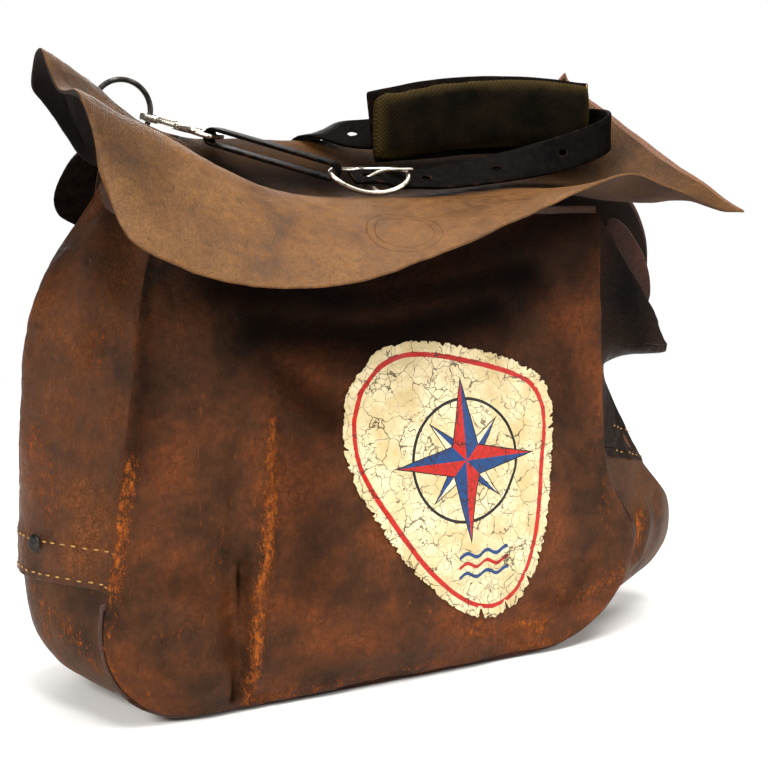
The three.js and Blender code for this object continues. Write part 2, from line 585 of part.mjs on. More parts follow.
// The same surface a given depth under its outer face
function underSide(folds, side, depth) {
  const surface = sideSurface(folds, side);
  const step = 1e-3;
  return (down, v) => {
    const alongDown = surface(Math.min(down + step, 2), v).sub(surface(Math.max(down - step, 0), v));
    const alongV = surface(down, Math.min(v + step, 1)).sub(surface(down, Math.max(v - step, 0)));
    const normal = alongDown.cross(alongV).multiplyScalar(side).normalize();
    return surface(down, v).addScaledVector(rimWayIn(down, v, normal), depth);
  };
}

// At a rim the wall's thickness keeps clear of the panel that the rim is sewn to
function rimWayIn(u, v, normal) {
  const inwards = normal.clone().negate();
  if (v === 0 || v === 1) inwards.y = 0;
  return inwards.normalize();
}

const sideLines = shares(12);
const leftMore = [0.2, 0.36, 0.55, 0.76, leftHem - 0.105, 1.15, 1.48];
const leftDowns = [...leftFolds.map((row) => row.down), ...leftMore];
const rightMore = [0.07, 0.22, 0.36, 0.64, 0.81, 1.45];
const rightDowns = [...rightFolds.map((row) => row.down), ...rightMore];
leftDowns.sort((a, b) => a - b);
rightDowns.sort((a, b) => a - b);

function gusset(folds, side, hem, downs) {
  const surface = sideSurface(folds, side);
  const stops = downs.filter((down) => down <= hem);
  const ordered = side < 0 ? stops.reverse() : stops;
  const point = (u, v) => {
    const { i, s } = placeIn(ordered, u);
    return surface(ordered[i] + (ordered[i + 1] - ordered[i]) * s, v);
  };
  return wall(point, shares(ordered.length - 1), sideLines, hide, rimWayIn);
}

addMesh('left_gusset', gusset(leftFolds, -1, leftHem, leftDowns), finishes.panel);
addMesh('right_gusset', gusset(rightFolds, 1, rightHem, rightDowns), finishes.panel);

// The bottom strip starts inside one gusset's hem, runs under the bag and ends inside the other's
const leftStart = leftHem - hemWidth / (frontHeight - leftCorner);
const rightStart = rightHem - hemWidth / (frontHeight - rightCorner);
const leftStripDowns = leftDowns.filter((down) => down >= leftStart);
const rightStripDowns = rightDowns.filter((down) => down >= rightStart);
const stripLeft = underSide(leftFolds, -1, underHem);
const stripRight = underSide(rightFolds, 1, underHem);
const stripStops = [
  ...rightStripDowns.map((down) => (v) => stripRight(down, v)),
  ...[0.33, 0.67].map((s) => (v) => stripRight(2, v).lerp(stripLeft(2, v), s)),
  ...leftStripDowns.reverse().map((down) => (v) => stripLeft(down, v)),
];
function stripPoint(u, v) {
  const { i, s } = placeIn(stripStops, u);
  return stripStops[i](v).lerp(stripStops[i + 1](v), s);
}
addMesh('bottom_strip', wall(stripPoint, shares(stripStops.length - 1), sideLines, hide, rimWayIn),
  finishes.panel);

// The welt caught between the front panel and the strip, standing out past the panel's edge
const weltStops = [
  ...rightStripDowns.filter((down) => down > rightHem - 0.02).map((down) => sidePoint(frontHeight, 1, down)),
  ...leftStripDowns.filter((down) => down > leftHem - 0.02).map((down) => sidePoint(frontHeight, -1, down)),
];
function weltPoint(u, v) {
  const { i, s } = placeIn(weltStops, u);
  const mix = (key) => weltStops[i][key] * (1 - s) + weltStops[i + 1][key] * s;
  const out = weltReach - weltWidth * (1 - v);
  const z = mix('z');
  const y = seamY(frontHeight, 'front', z) + hide + clearance;
  return new THREE.Vector3(mix('x') + mix('nx') * out, y, z + mix('nz') * out);
}
addMesh('front_welt', wall(weltPoint, shares(weltStops.length - 1), [0, 1], weltThickness,
  () => new THREE.Vector3(0, 1, 0)), finishes.panel);

// The flat rivet in the left hem
const rivetPlace = { down: 0.82, v: 0.45 };
const leftSide = sideSurface(leftFolds, -1);
const rivetSeat = leftSide(rivetPlace.down, rivetPlace.v);
const rivetUp = leftSide(rivetPlace.down - 0.02, rivetPlace.v).sub(rivetSeat);
const rivetBack = leftSide(rivetPlace.down, rivetPlace.v + 0.05).sub(rivetSeat);
const rivetOut = rivetUp.clone().cross(rivetBack).normalize();
const rivetShape = new THREE.CylinderGeometry(rivetRadius * 0.8, rivetRadius, rivetHeight, 14);
const rivet = addMesh('hem_rivet', rivetShape, finishes.iron);
rivet.quaternion.setFromUnitVectors(new THREE.Vector3(0, 1, 0), rivetOut);
rivet.position.copy(rivetSeat).addScaledVector(rivetOut, rivetHeight / 2 + 3 * clearance);

// The flap, sewn to the back panel and standing away over the mouth
const flapSeamZ = panelLift + backHeight - flapLap;
const flapSeamY = seamY(backHeight, 'back', flapSeamZ) + clearance + hide;
const flapLines = {
  back: (row) => [flapSeamY + bagDepth * row.out, flapSeamZ + bagHeight * row.up],
  rise: (row) => {
    const crest = flapLines.crest(row);
    const seam = flapLines.back(row);
    const low = [flapSeamY + bagDepth * row.out, seam[1] + flapLap + flapRise];
    const mid = [(seam[0] + crest[0]) / 2 + bagDepth * 0.06, (seam[1] + crest[1]) / 2 + bagHeight * 0.01];
    return row.sewn ? low : mid;
  },
  crest: (row) => [bagDepth * row.crestY, bagHeight * row.crestZ + panelLift],
  valley: (row) => [bagDepth * row.valleyY, bagHeight * row.valleyZ + panelLift],
  ridge: (row) => [bagDepth * row.ridgeY, bagHeight * row.ridgeZ + panelLift],
  edge: (row) => [bagDepth * row.edgeY, bagHeight * row.edgeZ + panelLift],
};
const flapShares = { back: 0, rise: 0.06, crest: 0.2, valley: 0.45, ridge: 0.68, edge: 1 };
const flapSplines = Object.keys(flapLines).map((line) => new THREE.CatmullRomCurve3(
  flapSections.map((row) => {
    const [y, z] = flapLines[line](row);
    return new THREE.Vector3(bagWidth * (row.backX + (row.edgeX - row.backX) * flapShares[line]), y, z);
  }),
  false,
  'centripetal',
));
function flapPoint(u, v) {
  const knots = flapSplines.map((spline) => spline.getPoint(u));
  return new THREE.CatmullRomCurve3(knots, false, 'centripetal').getPoint(v);
}
const flapAlong = [0, 0.1, 0.2, 0.3, 0.4, 0.46, 0.52, 0.58, 0.64, 0.7, 0.76, 0.82, 0.88, 0.94, 1];
const flapAcross = shares(23);
addMesh('flap', wall((u, v) => flapPoint(u, 1 - v), flapAcross, flapAlong.map((v) => 1 - v).reverse(), hide),
  finishes.flap);

// The printed patch follows the front panel's swell
const patchHoops = [0.35, 0.7, 1];
const patchLine = new THREE.CatmullRomCurve3(patchOutline.map((row) => placed(row)), true, 'centripetal');
const patchRim = shares(36).slice(1).map((t) => patchLine.getPoint(t));
const patchMiddle = new THREE.Box3().setFromPoints(patchRim).getCenter(new THREE.Vector3());
const patchRings = patchHoops.map((hoop) => patchRim.map((rim) => {
  const p = patchMiddle.clone().lerp(rim, hoop);
  const left = sideAt(frontHeight, -1, p.z);
  const right = sideAt(frontHeight, 1, p.z);
  return p.setY(frontDepth((p.x - left) / (right - left), p.z) - 4.5 * clearance);
}));
const patchFace = patchRings.map((ring) => ring.map((p) => p.clone().setY(p.y - patchThickness)));
addMesh('front_patch', loft([...patchRings, ...patchFace.reverse()]), finishes.print);

// Ears
const earInset = hide + 3 * clearance;
ears.forEach((ear) => {
  const folds = ear.side < 0 ? leftFolds : rightFolds;
  const root = underSide(folds, ear.side, earInset);
  const reach = new THREE.Vector3(ear.reach.x, ear.reach.y, ear.reach.z).normalize();
  const point = (u, v) => {
    const s = ear.side < 0 ? 1 - u : u;
    const seam = ear.from + (ear.to - ear.from) * s;
    const length = ear.length * (1 - Math.abs(2 * s - 1) ** 3) ** (1 / 2);
    const free = Math.max(v - 0.25, 0) / 0.75;
    return root(earTuck * (1 - Math.min(v / 0.25, 1)), seam).addScaledVector(reach, free * length);
  };
  const earLines = [0.03, 0.12, 0.3, 0.5, 0.7, 0.88, 0.97];
  addMesh(ear.name, wall(point, earLines, shares(4), earThickness), finishes.panel);
});

// Chapes and rings. Each chape is folded round the foot of its ring and runs down the back panel.
const ringMiddle = ringRadius - ringWire / 2;
function ringAt(at) {
  return new THREE.Vector3(bagWidth * at.x, flapSeamY + ringStandOff, bagHeight * at.z);
}
function addRing(name, at) {
  const ring = addMesh(name, new THREE.TorusGeometry(ringMiddle, ringWire / 2, 8, 28), finishes.iron);
  ring.rotation.x = Math.PI / 2;
  ring.position.copy(ringAt(at));
}
addRing('left_ring', leftRingAt);
addRing('right_ring', rightRingAt);

function addChape(name, at, side) {
  const loopRadius = ringWire / 2 + chapeThickness / 2 + 8 * clearance;
  const nearY = chapeThickness / 2 + 4 * clearance - ringStandOff;
  const farY = nearY + chapeThickness + 2 * clearance;
  const rows = [
    [nearY, -chapeLength, chapeWidth * 0.5],
    [nearY, -chapeLength * 0.85, chapeWidth],
    [nearY, -chapeLength * 0.45, chapeWidth],
    [nearY + clearance, -chapeLength * 0.25, chapeWidth * 0.7],
    ...shares(8).map((s) => Math.PI * s)
      .map((turn) => [-Math.cos(turn) * loopRadius, Math.sin(turn) * loopRadius, chapeNeck]),
    [farY + 2 * clearance, -chapeLength * 0.25, chapeWidth * 0.7],
    [farY, -chapeLength * 0.45, chapeWidth],
    [farY, -chapeLength * 0.82, chapeWidth * 0.9],
  ];
  const points = rows.map(([y, z]) => new THREE.Vector3(0, y, z));
  const tilt = new THREE.Group();
  tilt.rotation.y = -side * chapeTilt;
  tilt.position.copy(ringAt(at));
  bag.add(tilt);
  const ways = points.map(() => new THREE.Vector3(1, 0, 0));
  const chape = ribbon(points, ways, rows.map((row) => row[2]), chapeThickness);
  addMesh(name, chape.translate(0, 0, -ringMiddle), finishes.black, tilt);
}
addChape('left_chape', leftRingAt, -1);
addChape('right_chape', rightRingAt, 1);

// The buckle: an oval frame that rises to its ends, with a bar across its middle
const buckleMiddle = placed(buckleAt);
const buckleX = new THREE.Vector3(1, 0, 0);
const buckleY = new THREE.Vector3(0, Math.cos(buckleAt.lean), Math.sin(buckleAt.lean));
const buckleZ = buckleX.clone().cross(buckleY);
const buckleFrame = new THREE.Matrix4().makeBasis(buckleX, buckleY, buckleZ).setPosition(buckleMiddle);
const rimX = (buckleLength - buckleWire) / 2;
const rimY = (buckleWidth - buckleWire) / 2;
function rimPoint(turn) {
  const x = Math.cos(turn) * rimX;
  return new THREE.Vector3(x, Math.sin(turn) * rimY, buckleDome * (x / rimX) ** 2);
}
function circle(centre, a, b, radius, sides) {
  return shares(sides).slice(1).map((s) => centre.clone()
    .addScaledVector(a, Math.cos(s * 2 * Math.PI) * radius)
    .addScaledVector(b, Math.sin(s * 2 * Math.PI) * radius));
}
const rimRings = shares(32).slice(1).map((s) => {
  const centre = rimPoint(s * 2 * Math.PI);
  const along = rimPoint(s * 2 * Math.PI + 0.01).sub(centre).normalize();
  const up = new THREE.Vector3(0, 0, 1).addScaledVector(along, -along.z).normalize();
  return circle(centre, up.clone().cross(along), up, buckleWire / 2, 8);
});
const bar = solid(new THREE.CylinderGeometry(buckleWire / 2, buckleWire / 2, 2 * rimY, 12));
addMesh('buckle', fromSolid(solid(hoop(rimRings)).add(bar)).applyMatrix4(buckleFrame), finishes.nickel);

// Its prong, round the bar and over the strap to the right end
const prongRing = buckleWire / 2 + clearance + prongWire / 2;
const prongTop = buckleDome + buckleWire / 2 + clearance + prongWire / 2;
const prongLine = new THREE.CatmullRomCurve3([
  new THREE.Vector3(0, 0, prongRing),
  new THREE.Vector3(rimX * 0.3, 0, prongTop * 0.93),
  new THREE.Vector3(rimX * 0.65, 0, prongTop),
  new THREE.Vector3(rimX + prongWire, 0, prongTop),
]);
const rod = new THREE.Shape().absarc(0, 0, prongWire / 2, 0, 2 * Math.PI);
const prongEye = new THREE.TorusGeometry(prongRing, prongWire / 2, 6, 16).rotateX(Math.PI / 2);
const prongRod = new THREE.ExtrudeGeometry(rod, { steps: 10, curveSegments: 4, extrudePath: prongLine });
const prong = fromSolid(solid(prongEye).add(solid(prongRod)));
addMesh('buckle_prong', prong.applyMatrix4(buckleFrame), finishes.nickel);

// The snap hooks, in a frame with x from the collar to the nose, y across the plate, z its normal
const slotEnd = hookLength - hookWidth / 2 + slotWidth / 2;
const wireAt = slotEnd - ringWire / 2 - 4 * clearance; // where the ring's wire lies in the slot
const gateGap = gateThickness + 2 * clearance;
function plate(shape, thickness) {
  const options = { depth: thickness, bevelEnabled: false, curveSegments: 10 };
  return solid(new THREE.ExtrudeGeometry(shape, options).translate(0, 0, -thickness / 2));
}
function box(fromX, toX, fromY, toY, thickness) {
  const geometry = new THREE.BoxGeometry(toX - fromX, toY - fromY, thickness);
  return solid(geometry.translate((fromX + toX) / 2, (fromY + toY) / 2, 0));
}
function disc(radius, thickness) {
  const geometry = new THREE.CylinderGeometry(radius, radius, thickness, 20).rotateX(Math.PI / 2);
  return solid(geometry.translate(pivotFrom, pivotOff, 0));
}
function hookSolid(gated, eyeInside) {
  const half = hookWidth / 2;
  const outline = new THREE.Shape();
  outline.moveTo(0, -half * 0.5);
  outline.lineTo(half * 0.7, -half);
  outline.absarc(hookLength - half, 0, half, -Math.PI / 2, Math.PI / 2);
  outline.lineTo(half * 0.7, half);
  outline.lineTo(0, half * 0.5);
  const slot = new THREE.Shape();
  const slotHalf = slotWidth / 2;
  slot.absarc(slotStart + slotHalf, 0, slotHalf, Math.PI / 2, Math.PI * 1.5);
  slot.absarc(slotEnd - slotHalf, 0, slotHalf, -Math.PI / 2, Math.PI / 2);
  let body = plate(outline, hookPlate).subtract(plate(slot, 2 * hookPlate));
  if (gated) {
    const cheekEnd = pivotFrom + gateBoss + 2 * clearance;
    const boss = gateBoss + clearance;
    body = body
      .subtract(box(cheekEnd, pivotFrom + gateReach, 0, hookWidth, 2 * hookPlate))
      .subtract(disc(boss, gateGap))
      .subtract(box(pivotFrom - boss, cheekEnd + 1, pivotOff, hookWidth, gateGap))
      .subtract(box(pivotFrom, cheekEnd + 1, pivotOff - boss, hookWidth, gateGap))
      .add(disc(pivotPin, hookPlate));
  }
  const eyeFrom = -shankLength - eyeGap - 2 * eyeWire;
  const shankRod = new THREE.CylinderGeometry(shankRadius, shankRadius, shankLength + 2, 12);
  const shank = solid(shankRod.rotateZ(Math.PI / 2).translate(-shankLength / 2, 0, 0));
  const eyeOuter = box(eyeFrom, -shankLength, -eyeInside / 2 - eyeWire, eyeInside / 2 + eyeWire, eyeWire);
  const eyeHole = box(eyeFrom + eyeWire, -shankLength - eyeWire, -eyeInside / 2, eyeInside / 2, 2 * eyeWire);
  const eye = eyeOuter.subtract(eyeHole);
  return body.add(shank).add(gated ? eye : eye.rotate([90, 0, 0]));
}
const eyeInside = billetWidth + 5 * clearance;
const eyeBarAt = -shankLength - eyeGap - 1.5 * eyeWire; // its far bar, from the collar

const rimHeld = rimPoint(Math.PI - billetTurn).applyMatrix4(buckleFrame);
const rimAlong = rimPoint(Math.PI - billetTurn - 0.01).applyMatrix4(buckleFrame).sub(rimHeld).normalize();
const wireHeld = ringAt(leftRingAt)
  .add(new THREE.Vector3(Math.cos(ringHold), 0, -Math.sin(ringHold)).multiplyScalar(ringMiddle));
const hookX = wireHeld.clone().sub(rimHeld).normalize();
const hookY = new THREE.Vector3(0, 0, 1).cross(hookX).normalize();
const collar = wireHeld.clone().addScaledVector(hookX, -wireAt);
const hookFrame = new THREE.Matrix4().makeBasis(hookX, hookY, hookX.clone().cross(hookY)).setPosition(collar);
addMesh('left_hook', fromSolid(hookSolid(true, eyeInside)).applyMatrix4(hookFrame), finishes.nickel);

const lever = box(pivotFrom, pivotFrom + gateReach - clearance, pivotOff - gateWidth / 2,
  pivotOff + gateWidth / 2, gateThickness);
const gate = disc(gateBoss, gateThickness).add(lever).subtract(disc(pivotPin + clearance, 2 * gateThickness));
addMesh('hook_gate', fromSolid(gate).applyMatrix4(hookFrame), finishes.nickel);

// The billet runs round the hook's eye and the buckle's rim
const eyeHeld = new THREE.Vector3(eyeBarAt, 0, 0).applyMatrix4(hookFrame);
const billetWay = rimHeld.clone().sub(eyeHeld).normalize();
const billetEnds = [
  { at: rimHeld, across: rimAlong, ahead: 1, from: -1, wide: 0.65 },
  { at: eyeHeld, across: hookY.clone().negate(), ahead: -1, from: 1, wide: 1 },
];
const billetPath = billetEnds.flatMap((end) => {
  const up = end.across.clone().cross(billetWay).normalize();
  if (up.z < 0) up.negate();
  return shares(8).map((s) => {
    const turn = end.from * (0.5 - s) * Math.PI;
    return {
      point: end.at.clone().addScaledVector(billetWay, end.ahead * Math.cos(turn) * billetLoop)
        .addScaledVector(up, Math.sin(turn) * billetLoop),
      way: end.across,
      width: billetWidth * end.wide,
    };
  });
});
const betweenEnds = (a, b) => [0.2, 0.4, 0.6, 0.8].map((s) => ({
  point: a.point.clone().lerp(b.point, s),
  way: a.way.clone().lerp(b.way, s).normalize(),
  width: a.width + (b.width - a.width) * s,
}));
const billetRows = [
  ...billetPath.slice(0, 9),
  ...betweenEnds(billetPath[8], billetPath[9]),
  ...billetPath.slice(9),
  ...betweenEnds(billetPath[17], billetPath[0]),
];
const billetRings = ribbonRings(billetRows.map((row) => row.point), billetRows.map((row) => row.way),
  billetRows.map((row) => row.width), billetThickness, true);
addMesh('billet', hoop(billetRings), finishes.black);

// The right hook hangs from its ring, with its eye turned for the strap
const rightHeld = ringAt(rightRingAt)
  .add(new THREE.Vector3(-Math.sin(rightHold), 0, -Math.cos(rightHold)).multiplyScalar(ringMiddle));
const rightFrame = new THREE.Matrix4().makeBasis(
  new THREE.Vector3(0, 0, 1),
  new THREE.Vector3(0, 1, 0),
  new THREE.Vector3(-1, 0, 0),
).setPosition(rightHeld.x, rightHeld.y, rightHeld.z - wireAt);
addMesh('right_hook', fromSolid(hookSolid(false, eyeInside)).applyMatrix4(rightFrame), finishes.nickel);

// The strap: its route, then round the right hook's eye and back down
const rightEye = new THREE.Vector3(eyeBarAt, 0, 0).applyMatrix4(rightFrame);
const eyeTurn = eyeWire / 2 + strapThickness / 2 + 5 * clearance;
const eyeEnd = { wx: -1, wy: 0, wz: 0, wide: 0.58 };
const strapRows = [
  ...strapRoute.map((row) => ({ ...row, point: placed(row) })),
  ...[-0.35, 0, 0.25, 0.5, 0.75, 1].map((s) => ({
    ...eyeEnd,
    point: rightEye.clone().add(new THREE.Vector3(
      0,
      Math.cos(Math.max(s, 0) * Math.PI) * eyeTurn,
      s < 0 ? s * strapTurnBack * 2 : Math.sin(s * Math.PI) * eyeTurn,
    )),
  })),
  { ...eyeEnd, point: rightEye.clone().add(new THREE.Vector3(0, -eyeTurn, -strapTurnBack)) },
].map((row, i, all) => ({ ...row, at: i / (all.length - 1) }));
const strapCurve = new THREE.CatmullRomCurve3(strapRows.map((row) => row.point), false, 'centripetal');
function strapWay(t) {
  return new THREE.Vector3(...['wx', 'wy', 'wz'].map((key) => column(strapRows, 'at', key, t))).normalize();
}
const strapShares = shares(strapRows.length * 2.5);
const strapBody = solid(ribbon(
  strapShares.map((t) => strapCurve.getPoint(t)),
  strapShares.map((t) => strapWay(t)),
  strapShares.map((t) => strapWidth * column(strapRows, 'at', 'wide', t)),
  strapThickness,
));
function holeCut(t, length) {
  const cutter = new THREE.CylinderGeometry(holeWidth / 2, holeWidth / 2, 3 * strapThickness, 10);
  cutter.scale(length / holeWidth, 1, 1);
  const along = strapCurve.getTangent(t);
  const across = strapWay(t);
  across.addScaledVector(along, -across.dot(along)).normalize();
  const frame = new THREE.Matrix4().makeBasis(along, across.clone().cross(along), across);
  return solid(cutter.applyMatrix4(frame.setPosition(strapCurve.getPoint(t))));
}
const prongPlace = strapRows[1].at;
const holedStrap = holesAt.reduce((body, t) => body.subtract(holeCut(t, holeLength)), strapBody)
  .subtract(holeCut(prongPlace, prongSlot));
addMesh('strap', fromSolid(holedStrap), finishes.black);

// The pad, with leather on its far side
const padStart = bagWidth * padFrom;
function padAt(t) {
  const row = (key) => column(padSections, 'at', key, Math.min(t, 1));
  return {
    middle: new THREE.Vector3(padStart + padLength * t, bagDepth * row('y'), bagHeight * row('z')),
    tall: padHeight * row('tall'),
    thick: padThickness * row('thick'),
  };
}
const padRings = [0, 0.015, 0.05, 0.15, 0.3, 0.45, 0.6, 0.75, 0.88, 0.97, 0.99, 1].map((t) => {
  const { middle: centre, tall, thick } = padAt(t);
  return shares(16).slice(1).map((s) => {
    const round = (x) => Math.sign(x) * Math.abs(x) ** 0.6;
    return centre.clone().add(new THREE.Vector3(0, round(Math.cos(s * 2 * Math.PI)) * thick / 2,
      round(Math.sin(s * 2 * Math.PI)) * tall / 2));
  });
});
addMesh('shoulder_pad', loft(padRings), finishes.canvas);
const backingShares = [0.02, 0.1, 0.25, 0.45, 0.65, 0.85, 0.97, 1 + padOverhang / padLength];
const backingBehind = (padThickness + padBacking) / 2 + clearance;
addMesh('shoulder_pad_backing', ribbon(
  backingShares.map((t) => padAt(t).middle.add(new THREE.Vector3(0, backingBehind, 0))),
  backingShares.map(() => new THREE.Vector3(0, 0, 1)),
  backingShares.map((t) => padHeight * column(padSections, 'at', 'tall', Math.min(Math.max(t, 0.05), 0.97))),
  padBacking,
), finishes.black);

const bounds = new THREE.Box3().setFromObject(group);
const middle = bounds.getCenter(new THREE.Vector3());
bag.position.set(-middle.x, -middle.y, -bounds.min.z);

export default group;
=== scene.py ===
import math
import bmesh
import bpy
import numpy as np
from mathutils import Matrix, Vector, kdtree, noise
from mathutils.bvhtree import BVHTree


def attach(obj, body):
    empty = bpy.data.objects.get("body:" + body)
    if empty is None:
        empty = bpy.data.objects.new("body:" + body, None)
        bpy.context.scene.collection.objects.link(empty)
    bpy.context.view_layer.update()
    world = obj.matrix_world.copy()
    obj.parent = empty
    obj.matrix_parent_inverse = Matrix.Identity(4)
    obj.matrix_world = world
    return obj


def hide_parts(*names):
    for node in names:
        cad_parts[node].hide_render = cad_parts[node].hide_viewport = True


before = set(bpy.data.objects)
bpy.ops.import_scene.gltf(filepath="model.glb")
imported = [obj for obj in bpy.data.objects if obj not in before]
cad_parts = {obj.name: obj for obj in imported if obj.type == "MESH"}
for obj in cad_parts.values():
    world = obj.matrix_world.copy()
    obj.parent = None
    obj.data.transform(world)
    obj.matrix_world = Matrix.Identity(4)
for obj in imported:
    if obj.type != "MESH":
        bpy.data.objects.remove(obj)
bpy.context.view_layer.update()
print("frame loaded:", len(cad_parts), "nodes")

# the photograph's viewing angle, in metres and degrees
shot = {"turn": 27, "height": 9.5, "distance": 1.06, "lens": 65.6, "target": (0.00205, 0.01842, 0.206)}

turn, height = math.radians(shot["turn"]), math.radians(shot["height"])
ahead = Vector((math.sin(turn) * math.cos(height), math.cos(turn) * math.cos(height), -math.sin(height)))
bpy.ops.object.camera_add(location=Vector(shot["target"]) - ahead * shot["distance"])
camera = bpy.context.object
camera.rotation_mode = "QUATERNION"
camera.rotation_quaternion = ahead.to_track_quat("-Z", "Y")
camera.data.lens = shot["lens"]
camera.data.sensor_width = 36
camera.data.clip_start = 0.05
camera.data.clip_end = 40
bpy.context.scene.camera = camera
bpy.context.scene.view_settings.view_transform = "Standard"

# soft boxes: place, what they point at, size in metres, watts
lamps = {
    "overhead": {"place": (0.1, -0.35, 1.7), "size": 1.3, "power": 52},
    "leftBox": {"place": (-1.45, -0.75, 1.15), "size": 0.55, "power": 30},
    "rightBox": {"place": (1.2, -1.2, 0.8), "size": 0.8, "power": 16},
    "backBox": {"place": (0.3, 1.7, 1.2), "size": 1.0, "power": 22},
}
# brightness of the sky as light and as backdrop, the floor's colour and radius
studio = {"sky": 0.2, "behind": 1.0, "floor": "#f0eeea", "reach": 1.45}


def toLinear(hexColour):
    parts = [int(hexColour[i:i + 2], 16) / 255 for i in (1, 3, 5)]
    return tuple(c / 12.92 if c <= 0.04045 else ((c + 0.055) / 1.055) ** 2.4 for c in parts) + (1.0,)


# fills a node's inputs with plain values, or links them to sockets or to a node's first output
def wire(tree, node, inputs):
    for socket, value in dict(inputs).items():
        if isinstance(value, bpy.types.Node):
            value = value.outputs[0]
        if isinstance(value, bpy.types.NodeSocket):
            tree.links.new(value, node.inputs[socket])
        else:
            node.inputs[socket].default_value = value


# adds a shader node: its inputs, a colour ramp's stops, and the rest are its settings
def addNode(tree, kind, inputs=(), stops=None, **settings):
    node = tree.nodes.new("ShaderNode" + kind)
    for key, value in settings.items():
        setattr(node, key, value)
    wire(tree, node, inputs)
    if stops:
        ramp = node.color_ramp
        while len(ramp.elements) < len(stops):
            ramp.elements.new(0.5)
        for element, (place, colour) in zip(ramp.elements, stops):
            element.position = place
            element.color = toLinear(colour) if isinstance(colour, str) else (colour, colour, colour, 1)
    return node


def newMaterial(name):
    material = bpy.data.materials.new(name)
    material.use_nodes = True
    return material, material.node_tree, material.node_tree.nodes["Principled BSDF"]


def lightStudio():
    for name, lamp in lamps.items():
        bpy.ops.object.light_add(type="AREA", location=lamp["place"])
        light = bpy.context.object
        light.name = name
        light.data.size = lamp["size"]
        light.data.energy = lamp["power"]
        way = Vector((0, 0, 0.2)) - Vector(lamp["place"])
        light.rotation_euler = way.to_track_quat("-Z", "Y").to_euler()
    world = bpy.data.worlds.new("whiteStudio")
    bpy.context.scene.world = world
    world.use_nodes = True
    ray = addNode(world.node_tree, "LightPath")  # the backdrop is whiter to look at than it is to light with
    level = addNode(world.node_tree, "MapRange", {"Value": ray.outputs["Is Camera Ray"], "To Min": studio["sky"],
                                                  "To Max": studio["behind"]})
    wire(world.node_tree, world.node_tree.nodes["Background"], {"Color": (1, 1, 1, 1), "Strength": level})
    bpy.ops.mesh.primitive_circle_add(vertices=96, radius=studio["reach"], fill_type="NGON", location=(0, 0, -0.0005))
    floor = bpy.context.object
    floor.name = "floor"
    # Rolled matt paint: near white, takes a soft shadow and gives no reflection
    paint, tree, shader = newMaterial("mattPaintedFloor")
    wire(tree, shader, {"Base Color": toLinear(studio["floor"]), "Roughness": 0.9})
    floor.data.materials.append(paint)


lightStudio()
print("studio lit")


